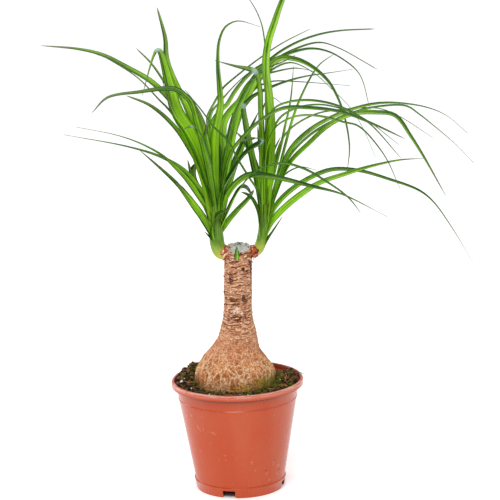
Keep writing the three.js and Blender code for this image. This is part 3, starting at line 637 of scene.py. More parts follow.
def plastic_material():
    """Glossy terracotta plastic with upright bands of painted sheen, chalky rubbed patches, dried drops,
    specks and fine scratches, a painted highlight along the lip, and painted shade with some dirt under the
    lip, inside the wall and behind the slots.
    """
    pot = settings("palm_pot")
    material, tree, shader = new_surface("pot_plastic", 0.3, IOR=1.45, Coat_Weight=0.12, Coat_Roughness=0.1)
    place = object_place(tree)
    # Painted sheen: upright bands of paler plastic stand in for soft reflections down the pot.
    bands = limits(tree, clouds(tree, stretched(tree, place, (34, 34, 3)), 1, 2, 0.45), 0.4, 0.62)
    rubs_and_sheen = limits(tree, clouds(tree, place, 26, 5), 0.42, 0.72, 0, 0.5)
    rubs_and_sheen = plus(tree, rubs_and_sheen, times(tree, bands, 0.7))
    scratches = limits(tree, clouds(tree, stretched(tree, place, (900, 900, 26)), 1, 2), 0.66, 0.8)
    base = blend(tree, times(tree, rubs_and_sheen, 0.55), tuple(pot.plastic), tuple(pot.faded_and_sheen))
    base = blend(tree, times(tree, scratches, 0.35), base, tuple(pot.faded_and_sheen))
    patches = limits(tree, clouds(tree, place, 38, 2), 0.5, 0.66)
    drops = limits(tree, clouds(tree, place, 210, 3), 0.62, 0.74)
    marks = times(tree, times(tree, drops, patches), 0.75)
    base = blend(tree, marks, base, tuple(pot.water_mark))
    dust = times(tree, limits(tree, spot_distance(tree, place, 260), 0.1, 0.05), patches)
    base = blend(tree, times(tree, dust, 0.6), base, tuple(pot.water_mark))
    soiled = limits(tree, clouds(tree, place, 17, 1), 0.52, 0.6)
    grit = times(tree, limits(tree, spot_distance(tree, place, 90), 0.09, 0.05), soiled)
    base = blend(tree, grit, base, tuple(settings("palm_soil").peat))
    # Painted highlight along the top of the lip.
    base = blend(tree, times(tree, lip_highlight_share(tree, place), 0.75), base, tuple(pot.painted_lip_highlight))
    # Painted shade, with some dirt, under the lip, inside the pot and behind the slots.
    base = blend(tree, grime_and_shade_share(tree, place), base, tuple(pot.grime_and_shade))
    tree.links.new(base, shader.inputs["Base Color"])
    worn = limits(tree, plus(tree, marks, scratches), 0, 1, 0.25, 0.55)
    tree.links.new(worn, shader.inputs["Roughness"])
    raise_bumps(tree, shader, clouds(tree, place, 160, 2), 0.05, 0.0004)
    return material


# Soil

SOIL_STEPS = 360
SOIL_RINGS = 66
SOIL_INNER = 24 * MM          # how near the axis the rings of the soil's top come, under the bulb
SOIL_RIM = 92 * MM            # height at which the soil's top meets the wall
BULB_CENTRE = Vector((-1.6, 0, 0)) * MM
BULB_ROOM = 37.5 * MM
TUFT_SHOOTS = 7
GOLDEN_ANGLE = 2.4


def soil_height(x, y):
    """Height of the soil at a place: heaped at the left and far side, sunk at the right rear."""
    x, y = x / MM, y / MM
    heap = 12 * math.exp(-((x + 42) ** 2 + (y - 20) ** 2) / 330)
    left_heap = 3 * math.exp(-((x + 48) ** 2 + (y + 6) ** 2) / 200)
    far_heap = 5.5 * math.exp(-((x - 47) ** 2 + (y - 6) ** 2) / 260)
    hollow = 7 * math.exp(-((x - 24) ** 2 + (y - 44) ** 2) / 260)
    lumps = 0.8 * math.sin(x * 0.31 + 1) * math.cos(y * 0.37 - x * 0.12)
    from_wall = soil_edge(SOIL_RIM) / MM - math.hypot(x, y)
    level = settings("palm_soil").level + (heap + left_heap + far_heap - hollow + lumps) * MM
    return min(level, settings("palm_pot").height + (0.9 * from_wall - 1.5) * MM)


def soil_edge(height):
    """How far the soil reaches at a height, just inside the pot's wall."""
    return wall_radius(height) - settings("palm_pot").wall - 0.3 * MM


def clods(place):
    """Height of the clods and crumbs over the soil's even surface, in metres."""
    coarse = 1 - noise.voronoi(place / (4.2 * MM))[0][0]
    fine = 1 - noise.voronoi(place / (1.7 * MM))[0][0]
    waves = noise.fractal(place / (9 * MM), 1.0, 2.0, 3)
    return (1.7 * coarse + 0.7 * fine + 1.2 * waves - 1.4) * MM


def make_soil():
    """The soil body, closed below, with its top broken up into clods."""
    soil_settings = settings("palm_soil")
    pot = settings("palm_pot")
    floor = CHANNEL_HEIGHT + pot.wall + 0.3 * MM
    below_rim = 86 * MM
    top_radius = soil_edge(SOIL_RIM)
    profile = [(0, floor), (soil_edge(floor) - 0.4 * MM, floor), (soil_edge(below_rim), below_rim)]
    for ring in range(SOIL_RINGS + 1):
        radius = top_radius + (SOIL_INNER - top_radius) * ring / SOIL_RINGS
        profile.append((radius, soil_settings.level))
    profile.append((0, soil_settings.level))
    soil = spin_profile("soil_body", profile, SOIL_STEPS)
    for vertex in soil.data.vertices:
        spot = vertex.co
        if spot.z < soil_settings.level - MM:
            continue
        radius = math.hypot(spot.x, spot.y)
        rim_share = smoothstep(radius, top_radius, top_radius - 1.5 * MM)
        spot.z = soil_height(spot.x, spot.y) + clods(Vector((spot.x, spot.y, 0)))
        spot.z = min(spot.z, pot.height + 4 * MM) - (1 - rim_share) * MM
    return soil


def soil_spots(count, seed, wanted=None):
    """Random spots (x, y) on the soil between the bulb and the wall, kept where wanted says so."""
    draw = random.Random(seed)
    spots = []
    while len(spots) < count:
        angle = draw.uniform(0, math.tau)
        radius = math.sqrt(draw.uniform(0.3, 1)) * (soil_edge(96 * MM) - 0.8 * MM)
        spot = Vector((radius * math.cos(angle), radius * math.sin(angle), 0))
        if (spot - BULB_CENTRE).length < BULB_ROOM - 1.5 * MM:
            continue
        if wanted and not wanted(spot, draw):
            continue
        spots.append(spot)
    return spots, draw


def any_turn(draw):
    """A random turn about two axes."""
    return (Matrix.Rotation(draw.uniform(0, math.tau), 3, "Z")
            @ Matrix.Rotation(draw.uniform(0, math.tau), 3, "X"))


# Clods piled on the heaps at the left and right: place (x, y), how far their middles lie over the soil, and
# radius, in millimetres
CLODS = (
    (-52.5, 3, 0.5, 3.2), (-51, 12, 1.5, 4.2), (-47.5, 20, 1.5, 4.6), (-43, 28, 1.5, 4.4), (-37, 34, 1, 4),
    (-45, 8, 1, 3.6), (-39.5, 20, 1, 4), (-34.5, 27, 1, 3.6), (-54, -7, 0, 2.4), (-50, -3, 1, 2.8),
    (49, 12, 1, 3.4), (52, 3, 0.5, 3), (46, 22, 0.5, 3), (50, -6, 0.5, 2.4),
)


def make_crumbs():
    """Loose crumbs of peat, heaped more thickly where the soil is heaped."""
    soil = settings("palm_soil")
    pattern = new_ball(2)
    roughen(pattern, 0.9, 1.7, 3)
    spots, draw = soil_spots(soil.crumbs, 11)
    places = []
    for spot in spots:
        size = draw.uniform(0.35, 1.0) ** 2 * 2.3 * MM
        spot.z = soil_height(spot.x, spot.y) + draw.uniform(-0.4, 0.9) * MM
        shape = Vector((size, size * draw.uniform(0.5, 1), size * draw.uniform(0.4, 0.9)))
        places.append((spot, any_turn(draw), shape))
    for x, y, lift, radius in CLODS:
        spot = Vector((x, y, 0)) * MM
        spot.z = soil_height(spot.x, spot.y) + lift * MM
        shape = Vector((radius, radius * draw.uniform(0.7, 0.9), radius * draw.uniform(0.7, 0.9))) * MM
        places.append((spot, any_turn(draw), shape))
    crumbs = scatter(pattern, "soil_crumbs", places)
    roughen_places(crumbs)
    smooth(crumbs, 60)
    return crumbs


# Places (x, y) of the two grains that show most, in millimetres
BIG_GRAINS = ((-50.5, -9), (37, 34))


def make_grains():
    """White perlite grains: two big ones at their places, and small ones anywhere."""
    pattern = new_ball(2)
    roughen(pattern, 0.7, 1.2, 8)
    spots, draw = soil_spots(settings("palm_soil").grains, 23)
    for spot, (x, y) in zip(spots, BIG_GRAINS):
        spot.xy = (x * MM, y * MM)
    places = []
    for index, spot in enumerate(spots):
        size = (1.5 if index < len(BIG_GRAINS) else draw.uniform(0.45, 1.1)) * MM
        spot.z = soil_height(spot.x, spot.y) + 0.9 * MM
        places.append((spot, any_turn(draw), Vector((size, size * 0.8, size * 0.7))))
    grains = scatter(pattern, "perlite", places)
    smooth(grains, 50)
    return grains


def tuft_pattern():
    """A tuft of short moss shoots, each a golden angle further round than the last."""
    shoots = []
    draw = random.Random(5)
    for index in range(TUFT_SHOOTS):
        bpy.ops.mesh.primitive_cone_add(vertices=4, radius1=0.26, radius2=0.03, depth=1, location=(0, 0, 0.5),
                                        end_fill_type="NOTHING")
        shoot = bpy.context.object
        settle(shoot)
        lean = Matrix.Rotation(draw.uniform(0.1, 0.9), 3, "X")
        around = Matrix.Rotation(index * GOLDEN_ANGLE, 3, "Z")
        shoot.data.transform((around @ lean).to_4x4())
        shoots.append(shoot)
    return join(shoots, "moss_pattern")


def mossy(spot, draw):
    """Moss grows round the bulb's foot, most at the right, and on the heap at the left."""
    near_bulb = smoothstep((spot - BULB_CENTRE).length, BULB_ROOM + 8 * MM, BULB_ROOM - 2 * MM)
    right = smoothstep(spot.x, 8 * MM, 30 * MM)
    heap = smoothstep(spot.x, -30 * MM, -44 * MM) * smoothstep(spot.y, -4 * MM, 12 * MM)
    patch = smoothstep(noise.noise(spot / (9 * MM)), -0.1, 0.25)
    return draw.random() < max(near_bulb * (0.35 + 0.5 * right), patch * max(right * 0.5, heap), 0.04)


def make_moss():
    """Moss tufts on the soil, most round the bulb's foot."""
    spots, draw = soil_spots(settings("palm_soil").moss_tufts, 37, mossy)
    places = []
    for spot in spots:
        size = draw.uniform(0.9, 2.1) * MM
        spot.z = soil_height(spot.x, spot.y) + 0.3 * MM
        around = Matrix.Rotation(draw.uniform(0, math.tau), 3, "Z")
        lean = Matrix.Rotation(draw.uniform(-0.5, 0.5), 3, "X")
        places.append((spot, around @ lean, Vector((size, size, size * draw.uniform(0.8, 1.5)))))
    return scatter(tuft_pattern(), "moss", places)


def root_bit(index, spot, draw):
    """A thin bent bit of root lying on the soil."""
    span = draw.uniform(4, 11) * MM
    heading = draw.uniform(0, math.tau)
    points = []
    for step in range(5):
        share = step / 4 - 0.5
        bend = draw.uniform(-0.7, 0.7) * MM
        x = spot.x + span * share * math.cos(heading) + bend * math.sin(heading)
        y = spot.y + span * share * math.sin(heading) - bend * math.cos(heading)
        lift = (0.9 + 0.8 * draw.random()) * MM
        points.append(Vector((x, y, soil_height(x, y) + lift)))
    thick = draw.uniform(0.12, 0.32) * MM
    radii = [thick * factor for factor in (0.6, 1, 0.9, 1, 0.4)]
    return bent_tube(f"root_{index}", points, radii, 5)


# The twig that leans over the rim: points (x, y, z) and its radius there, in millimetres
TWIG = ((49, 6, 101.5, 0.3), (54, 5, 103.6, 0.4), (58, 4, 103.4, 0.35), (62.5, 3, 101.6, 0.15))


def make_roots():
    """Bits of root on the soil, and one thin twig that leans over the rim at the right."""
    spots, draw = soil_spots(settings("palm_soil").roots, 51)
    bits = [root_bit(index, spot, draw) for index, spot in enumerate(spots)]
    route = [Vector(point[:3]) * MM for point in TWIG]
    bits.append(bent_tube("twig", route, [point[3] * MM for point in TWIG], 6))
    roots = join(bits, "root_bits")
    smooth(roots, 60)
    return roots


def peat_material():
    """Dark peat with paler dry fibres and a green tinge in patches."""
    soil = settings("palm_soil")
    material, tree, shader = new_surface("peat", 0.95, Specular_IOR_Level=0.15)
    place = object_place(tree)
    fibres = limits(tree, clouds(tree, stretched(tree, place, (700, 500, 300)), 1, 4), 0.5, 0.72)
    patches = limits(tree, clouds(tree, place, 120, 4), 0.4, 0.65)
    base = blend(tree, times(tree, fibres, patches), tuple(soil.peat), tuple(soil.peat_light))
    green = limits(tree, clouds(tree, place, 55, 3), 0.56, 0.7, 0, 0.5)
    base = blend(tree, green, base, tuple(soil.moss_dark))
    tree.links.new(base, shader.inputs["Base Color"])
    raise_bumps(tree, shader, clouds(tree, place, 900, 4), 0.6, 0.0006)
    return material


def crumb_material():
    """Crumbs from dark peat to dry brown fibre, each with its own tone."""
    soil = settings("palm_soil")
    material, tree, shader = new_surface("crumbs", 0.9, Specular_IOR_Level=0.15)
    place = object_place(tree)
    tone = clouds(tree, place, 330, 2)
    base = blend(tree, limits(tree, tone, 0.42, 0.62), tuple(soil.peat), tuple(soil.crumb))
    green = limits(tree, clouds(tree, place, 75, 2), 0.55, 0.68, 0, 0.5)
    base = blend(tree, green, base, tuple(soil.moss_dark))
    tree.links.new(base, shader.inputs["Base Color"])
    raise_bumps(tree, shader, clouds(tree, place, 1300, 3), 0.6, 0.0005)
    return material


def moss_material():
    """Moss, from dark to lit green."""
    soil = settings("palm_soil")
    material, tree, shader = new_surface("moss", 0.8, Specular_IOR_Level=0.2)
    place = object_place(tree)
    base = blend(tree, limits(tree, clouds(tree, place, 190, 3), 0.35, 0.62), tuple(soil.moss_dark),
                 tuple(soil.moss))
    tree.links.new(base, shader.inputs["Base Color"])
    return material


def grain_material():
    """White grains with a little dirt in their pores."""
    material, tree, shader = new_surface("perlite", 0.85)
    soil = settings("palm_soil")
    place = object_place(tree)
    pores = limits(tree, clouds(tree, place, 700, 3), 0.5, 0.75, 0, 0.5)
    base = blend(tree, pores, tuple(soil.grain), tuple(soil.peat_light))
    tree.links.new(base, shader.inputs["Base Color"])
    raise_bumps(tree, shader, clouds(tree, place, 1500, 2), 0.5, 0.0004)
    return material


def root_material():
    """Dry roots, from dull brown to the colour of the bark."""
    material, tree, shader = new_surface("root_bits", 0.8)
    tone = limits(tree, clouds(tree, object_place(tree), 90, 2), 0.42, 0.62)
    base = blend(tree, tone, tuple(settings("palm_soil").peat_light), tuple(settings("palm_trunk").bark))
    tree.links.new(base, shader.inputs["Base Color"])
    return material


# Trunk

# Height, radius and sideways centre of the trunk, in millimetres
TRUNK_PROFILE = [
    (66, 14, -1.6), (70, 23, -1.6), (80, 31.5, -1.6), (97, 35.5, -1.6), (104, 36.4, -1.6),
    (109, 35.9, -1.7), (113, 34.2, -1.9), (118, 30.8, -2.4), (123, 27.5, -2.4), (128, 23.4, -1.8),
    (133, 20.8, -0.4), (141, 17.3, 1.5), (147, 16.1, 1.9), (155, 14, 2.1), (162, 12.8, 2.4),
    (190, 12.4, 3.3), (222.5, 12.2, 4.5),
]
SOIL_LINE = 93 * MM           # below this height the trunk is hidden, and its bark fades to plain
CUT_HEIGHT = 222.5 * MM
CUT_CENTRE = Vector((4.5 * MM, 0, CUT_HEIGHT))
CUT_RADIUS = 11.7 * MM
CUT_TILT = math.radians(9)
CUT_TILT_START = 200 * MM     # height from which the stem's rows lean into the tilt of the cut
NECK_FOOT = 116 * MM          # where the bulb's net starts to fade
NECK_TOP = 138 * MM           # where it is gone and the rings of scars come in
STEM_FOOT = 150 * MM          # from where the stem's bark is fully ringed and starts to peel
TRUNK_SIDES = 310
TRUNK_ROWS = 300
ROWS_IN_SOIL = 14
LIP_ROWS = 4                  # rows that turn in under the cut face
KNOT = Vector((8.4, -11.4, 205.7)) * MM
# Where bark has come off the front of the stem: dark holes, and a fresh pale patch between them
TORN_PATCHES = (Vector((-2, -12.4, 175)) * MM, Vector((1.8, -13, 160)) * MM)
PALE_PATCH = Vector((3.6, -13, 167)) * MM


def trunk_at(height):
    """Radius and sideways centre of the trunk at a height, on a smooth curve through the profile."""
    level = height / MM
    last = len(TRUNK_PROFILE) - 1
    at = 0
    while at < last - 1 and TRUNK_PROFILE[at + 1][0] < level:
        at += 1
    low, high = TRUNK_PROFILE[at], TRUNK_PROFILE[at + 1]
    before = TRUNK_PROFILE[max(0, at - 1)]
    after = TRUNK_PROFILE[min(last, at + 2)]
    span = high[0] - low[0]
    share = min(1.0, max(0.0, (level - low[0]) / span))
    values = []
    for column in (1, 2):
        slope_low = (high[column] - before[column]) / (high[0] - before[0]) * span
        slope_high = (after[column] - low[column]) / (after[0] - low[0]) * span
        values.append(eased(low[column], slope_low, high[column], slope_high, share) * MM)
    return values


def net_of_ridges(place, cell, width):
    """1 on the borders between random cells of a size, and 0 inside them."""
    warp = noise.noise_vector(place / (cell * 1.3)) * cell * 0.45
    distances = noise.voronoi((place + warp) / cell)[0]
    return 1 - smoothstep(distances[1] - distances[0], 0.0, width)


def bulb_net(place, shoulder):
    """The bulb's net: long upright ridges, cells between them and finer cracks inside the cells."""
    cell = settings("palm_trunk").net_cell
    upright = Vector((place.x, place.y, place.z * (0.8 - 0.25 * shoulder)))
    coarse = net_of_ridges(upright, cell, 0.2)
    fine = net_of_ridges(upright + Vector((0.1, 0, 0)), cell * 0.6, 0.22)
    long = net_of_ridges(Vector((place.x, place.y, place.z * 0.35)) + Vector((0, 0.2, 0)), cell * 2.6, 0.1)
    presence = smoothstep(noise.noise(place / (10 * MM)), -0.3, 0.1)
    return max(coarse * (0.45 + 0.55 * presence), fine * (0.4 - 0.3 * presence), long)


def stem_rings(place, height):
    """How far the stem's rings stand out, and the share of dark scar, at a point."""
    scars, out = 0, 0
    for index, (stretch, wander) in enumerate(((1.0, 1.6), (1.55, 2.6))):
        spacing = settings("palm_trunk").scar_spacing * stretch
        spot = Vector((place.x, place.y, place.z * 0.35)) / (7 * MM) + Vector((index * 9, 0, 0))
        phase = ((height + wander * MM * noise.noise(spot)) / spacing) % 1.0
        line = 1 - smoothstep(abs(phase - 0.5), 0.03, 0.14)
        fine_spot = Vector((place.x, place.y, place.z * 2.2)) / (4.0 * MM) + Vector((5, index, 2))
        strength = 0.35 + 0.65 * smoothstep(height, NECK_TOP, 160 * MM)
        scars = max(scars, strength * line * smoothstep(noise.noise(fine_spot), -0.3, 0.2))
        out += 0.45 * math.exp(-((phase - 0.72) / 0.09) ** 2)
    return out, scars


def peeled_bark(place, height):
    """The shares of bark that is torn off, leaving dark holes, and of the fresh pale patch."""
    spot = Vector((place.x, place.y, place.z * 0.6)) / (6.5 * MM) + Vector((3, 3, 3))
    torn = smoothstep(noise.noise(spot), 0.18, 0.42) * smoothstep(height, STEM_FOOT, 162 * MM)
    ragged = noise.noise(Vector((place.x, place.y, place.z * 1.8)) / (2.2 * MM)) * 3.5 * MM
    for patch in TORN_PATCHES:
        torn = max(torn, 1 - smoothstep((place - patch).length + ragged, 3.4 * MM, 5 * MM))
    from_pale = place - PALE_PATCH
    from_pale.z *= 1.5
    pale = 1 - smoothstep(from_pale.length - ragged, 3.6 * MM, 5 * MM)
    return torn * (1 - pale), pale


def bark_shape(place, height):
    """How far the bark stands out at a point of the smooth trunk, with its ridge, crack, moss and pale
    shares."""
    trunk = settings("palm_trunk")
    on_bulb = 1 - smoothstep(height, NECK_FOOT, NECK_TOP)
    net = bulb_net(place, smoothstep(height, 108 * MM, 124 * MM))
    rings, scars = stem_rings(place, height)
    crackle = net_of_ridges(Vector((place.x, place.y, place.z * 2.6)), 3.6 * MM, 0.22)
    torn, pale = peeled_bark(place, height)
    knot = (place - KNOT).length
    knot_ring = math.exp(-((knot - 2.4 * MM) / (0.8 * MM)) ** 2)
    knot_pit = 1 - smoothstep(knot, 0.8 * MM, 2.2 * MM)
    lumps = noise.noise(place / (13 * MM)) * 0.5
    grain = noise.noise(place / (0.9 * MM)) * 0.15
    stem_out = 0.45 * crackle + rings - scars - 0.5 * torn
    height_out = on_bulb * (net - 0.4) + (1 - on_bulb) * stem_out * 0.75
    height_out += lumps + grain + 0.9 * knot_ring - 1.2 * knot_pit + 0.5 * pale
    ridge = on_bulb * net + (1 - on_bulb) * min(1.0, 0.25 + 0.45 * crackle + 0.8 * rings)
    crack = (1 - on_bulb) * max(0.75 * scars, torn * (0.45 + 0.5 * crackle)) * (1 - 0.7 * pale) + knot_pit
    right = smoothstep(place.x, -22 * MM, 30 * MM)
    moss_top = (104 + 9 * right + 5 * noise.noise(place / (6 * MM))) * MM
    moss = 1 - smoothstep(height, moss_top - 8 * MM, moss_top)
    return height_out * trunk.ridge_height, (ridge, min(1.0, crack), moss, pale)


def lean_to_cut(height):
    """How steeply the stem's rows rise to the rear at a height, to meet the tilted cut."""
    return smoothstep(height, CUT_TILT_START, CUT_HEIGHT) * math.tan(CUT_TILT)


def trunk_point(angle, height):
    """A point of the bark with its look shares."""
    radius, centre = trunk_at(height)
    smooth_place = Vector((centre + radius * math.cos(angle), radius * math.sin(angle), height))
    out, look = bark_shape(smooth_place, height)
    reach = radius + out * smoothstep(height, SOIL_LINE - 5 * MM, SOIL_LINE + 4 * MM)
    y = reach * math.sin(angle)
    return Vector((centre + reach * math.cos(angle), y, height + lean_to_cut(height) * y)), look


def make_bark():
    """The bulb, neck and stem: a grid rolled into a tube, with the bark's net and scars raised on it."""
    bottom = TRUNK_LOW.z + 1.5 * MM
    bark = new_grid(TRUNK_SIDES, TRUNK_ROWS)
    bark.name = bark.data.name = "bark"
    looks = []
    rows_in_air = TRUNK_ROWS - LIP_ROWS - ROWS_IN_SOIL
    noise.seed_set(NOISE_SEED)
    for vertex in bark.data.vertices:
        angle = (vertex.co.x + 0.5) * math.tau
        row = round((vertex.co.y + 0.5) * TRUNK_ROWS)
        inset = max(0, row - TRUNK_ROWS + LIP_ROWS)
        row = min(row, TRUNK_ROWS - LIP_ROWS)
        if row < ROWS_IN_SOIL:
            height = bottom + (SOIL_LINE - bottom) * row / ROWS_IN_SOIL
        else:
            height = SOIL_LINE + (CUT_HEIGHT - SOIL_LINE) * (row - ROWS_IN_SOIL) / rows_in_air
        vertex.co, look = trunk_point(angle, height)
        inward = vertex.co - CUT_CENTRE
        vertex.co -= Vector((inward.x, inward.y, 0)) * 0.1 * inset
        vertex.co.z -= 0.5 * MM * max(0, inset - 1)
        looks.append(look)
    write_look(bark, looks)
    close_tube(bark)
    smooth(bark, 60)
    return bark


def make_cut_face():
    """The sawn top: a disc in rings, dished and frayed, tilted with the cut."""
    rings, sides = 14, 96
    bpy.ops.mesh.primitive_circle_add(vertices=sides, radius=CUT_RADIUS, fill_type="NOTHING",
                                      location=(0, 0, 0))
    cut = bpy.context.object
    cut.name = cut.data.name = "cut_face"
    bpy.ops.object.mode_set(mode="EDIT")
    bpy.ops.mesh.select_all(action="SELECT")
    for ring in range(rings - 1):
        shrink = (rings - 1 - ring) / (rings - ring)
        bpy.ops.mesh.extrude_edges_move()
        bpy.ops.transform.resize(value=(shrink, shrink, 1), center_override=(0, 0, 0))
    bpy.ops.mesh.edge_face_add()
    bpy.ops.mesh.select_all(action="SELECT")
    bpy.ops.mesh.normals_make_consistent(inside=False)
    bpy.ops.object.mode_set(mode="OBJECT")
    tilt = Matrix.Rotation(CUT_TILT, 3, "X")
    for vertex in cut.data.vertices:
        spot = vertex.co.copy()
        radius = spot.length / CUT_RADIUS
        frayed = noise.fractal(Vector((spot.x * 0.6, spot.y * 1.6, 0)) / (1.6 * MM), 0.9, 2.0, 3)
        rim = smoothstep(radius, 0.72, 0.95) * (0.9 + 1.3 * noise.noise(spot / (1.9 * MM)))
        edge = smoothstep(radius, 0.97, 1.0) * 2.2
        spot.z = (0.7 * frayed + rim - edge + 0.5) * MM
        vertex.co = tilt @ spot + CUT_CENTRE
    apply_modifier(cut, "SOLIDIFY", thickness=1.2 * MM, offset=-1)
    smooth(cut, 60)
    return cut


COLLARS = (
    # centre, half sizes and the shoot's way out of the collar, in millimetres
    ((-7, 0, 218.5), (7.0, 8.0, 6.4), (-0.8, 0, 0.6)),
    ((17.5, 0, 218.5), (6.2, 7.0, 5.8), (0.75, 0, 0.66)),
)


def make_collars():
    """The swollen rings of orange skin that the shoots come out of."""
    collars = []
    for index, (centre, half, way) in enumerate(COLLARS):
        collar = new_ball(5)
        axis = Vector(way).normalized()
        for vertex in collar.data.vertices:
            spot = vertex.co.copy()
            along = spot.dot(axis)
            layers = 0.05 * math.sin(along * 17 + 2 * noise.noise(spot * 2 + Vector((index, 0, 0))))
            lumps = 0.16 * noise.fractal(spot * 2.6 + Vector((index * 7, 0, 0)), 0.9, 2.0, 4)
            mouth = 0.1 * math.exp(-((along - 0.72) / 0.12) ** 2)
            spot *= 1 + layers + lumps + mouth
            vertex.co = Vector(centre) * MM + Vector([spot[k] * half[k] * MM for k in range(3)])
        collars.append(collar)
    collar = join(collars, "collars")
    smooth(collar, 50)
    return collar


# Papery flakes that the trunk carries: place on the front (x, z), length and height in millimetres, and turn
# in degrees
FLAKES = (
    (-7.2, 217.2, 9.5, 1.5, 38), (-9.5, 221.5, 5, 1.6, 60), (13, 215, 5.5, 1.6, -25),
    (15.5, 211.5, 4.5, 1.2, 12), (19.5, 214.5, 5, 1.3, -40), (9.5, 218.5, 4, 1.3, 20), (3.5, 207, 5, 1.1, 8),
    (11.5, 203, 4.5, 1.2, -8), (-5, 203.5, 5, 1.1, 5), (0.5, 197, 6, 1.0, -4), (9.5, 192.5, 5.5, 1.1, 6),
    (-4.5, 189, 5, 1.0, -6), (5, 184, 6.5, 1.1, 3), (11, 178.5, 4, 1.0, -7), (-2.5, 174.5, 6.5, 1.5, 4),
    (-5.5, 169.5, 4, 1.2, 14), (6, 166.5, 8.5, 1.9, -3), (0.5, 160.5, 6, 1.0, 5), (10, 156.5, 6, 1.0, -5),
    (-5.5, 152.5, 7, 1.1, 4),
)
FLAKES_ON_COLLARS = 210       # flakes above this height lie in front of the collars, in millimetres
COLLAR_FRONT = 8.6 * MM
# Stubs of old leaf bases: place (x, z) and size in millimetres
STUBS = ((-8.6, 197.2, 2.0), (-8.7, 183.2, 2.2), (-9.3, 171.5, 1.4), (-12.8, 214.6, 1.8), (15.2, 190.5, 1.2))


def on_trunk(x, z, sink):
    """A point on the front of the trunk and the way out of the bark there."""
    radius, centre = trunk_at(z * MM)
    across = max(-0.97, min(0.97, (x * MM - centre) / radius))
    out = Vector((across, -math.sqrt(1 - across ** 2), 0))
    place = Vector((centre, 0, z * MM)) + out * (radius + sink)
    place.z += lean_to_cut(z * MM) * place.y
    return place, out


def make_flakes():
    """Loose flakes of bark and skin, each a small curled plate with a ragged edge."""
    flakes = []
    for index, (x, z, wide, high, turn) in enumerate(FLAKES):
        place, out = on_trunk(x, z, 0.35 * MM)
        if z > FLAKES_ON_COLLARS:
            place += out * 1.2 * MM
            place.y = min(place.y, -COLLAR_FRONT)
        side = Vector((0, 0, 1)).cross(out).normalized()
        lean = Matrix.Rotation(math.radians(turn), 3, out)
        side, up = lean @ side, lean @ Vector((0, 0, 1))
        flake = new_grid(14, 4)
        for vertex in flake.data.vertices:
            across, rise = vertex.co.x * 2, vertex.co.y * 2
            ragged = 1 + 0.45 * noise.noise(Vector((across * 2.2, index, rise)))
            taper = (1 - abs(across) ** 2.4) ** 0.5
            bow = wide * MM * across / 2
            curl = (0.5 * rise + 0.35 * rise ** 2) * high * 0.5 * MM
            sag = bow ** 2 / (2 * (trunk_at(z * MM)[0] + MM))
            vertex.co = (place + side * bow + up * (rise * taper * ragged * high * MM / 2)
                         + out * (curl * taper - sag))
        flakes.append(flake)
    flake = join(flakes, "bark_flakes")
    apply_modifier(flake, "SOLIDIFY", thickness=0.35 * MM, offset=0)
    smooth(flake, 50)
    return flake


def make_stubs():
    """Dark stubs of old leaf bases that stand out at the sides of the stem."""
    stubs = []
    for x, z, size in STUBS:
        place, out = on_trunk(x, z, 0)
        stub = new_ball(3)
        roughen(stub, 0.5, 1.4, z)
        turn = out.to_track_quat("Z", "Y").to_matrix()
        shape = Matrix.Diagonal((size * 0.55 * MM, size * 0.5 * MM, size * 0.6 * MM, 1))
        stub.data.transform(Matrix.Translation(place) @ turn.to_4x4() @ shape)
        stubs.append(stub)
    stub = join(stubs, "leaf_stubs")
    smooth(stub, 60)
    return stub


def bark_material():
    """Corky net on the bulb, ringed bark above, cracks, peeled patches, and moss near the soil."""
    trunk = settings("palm_trunk")
    material, tree, shader = new_surface("bark", 0.82, Specular_IOR_Level=0.15)
    place = object_place(tree)
    ridge, crack, moss, pale = look_shares(tree)
    across, _, height = coordinates(tree, place)
    up = limits(tree, height, NECK_FOOT + 4 * MM, STEM_FOOT)
    fine = clouds(tree, place, 760, 4, 0.7)
    bands = clouds(tree, stretched(tree, place, (150, 150, 1150)), 1, 4, 0.65)
    base = blend(tree, up, bulb_colour(tree, place, ridge), stem_colour(tree, place, ridge, bands))
    neck = times(tree, limits(tree, height, NECK_FOOT, NECK_FOOT + 12 * MM, 0, 0.4),
                 limits(tree, height, NECK_TOP + 8 * MM, NECK_TOP - 2 * MM))
    base = blend(tree, times(tree, neck, limits(tree, fine, 0.35, 0.6, 1, 0.4)), base, tuple(trunk.collar))
    base = blend(tree, limits(tree, fine, 0.6, 0.42, 0, 0.6), base, tuple(trunk.groove))
    fresh = times(tree, limits(tree, bands, 0.42, 0.52, 0.3, 0.85), pale)
    base = blend(tree, fresh, base, tuple(trunk.peeled))
    base = blend(tree, limits(tree, plus(tree, crack, fine), 0.75, 1.15, 0, 0.95), base, tuple(trunk.crack))
    thin_cracks = limits(tree, clouds(tree, stretched(tree, place, (150, 150, 980)), 1, 4, 0.65), 0.57, 0.64)
    ringed = limits(tree, height, NECK_TOP - 8 * MM, STEM_FOOT + 15 * MM, 0.1, 0.85)
    base = blend(tree, times(tree, times(tree, thin_cracks, up), ringed), base, tuple(trunk.crack))
    base = mossy_colour(tree, place, moss, across, base)
    tree.links.new(base, shader.inputs["Base Color"])
    raise_bumps(tree, shader, plus(tree, fine, bands), 0.6, 0.0008)
    return material


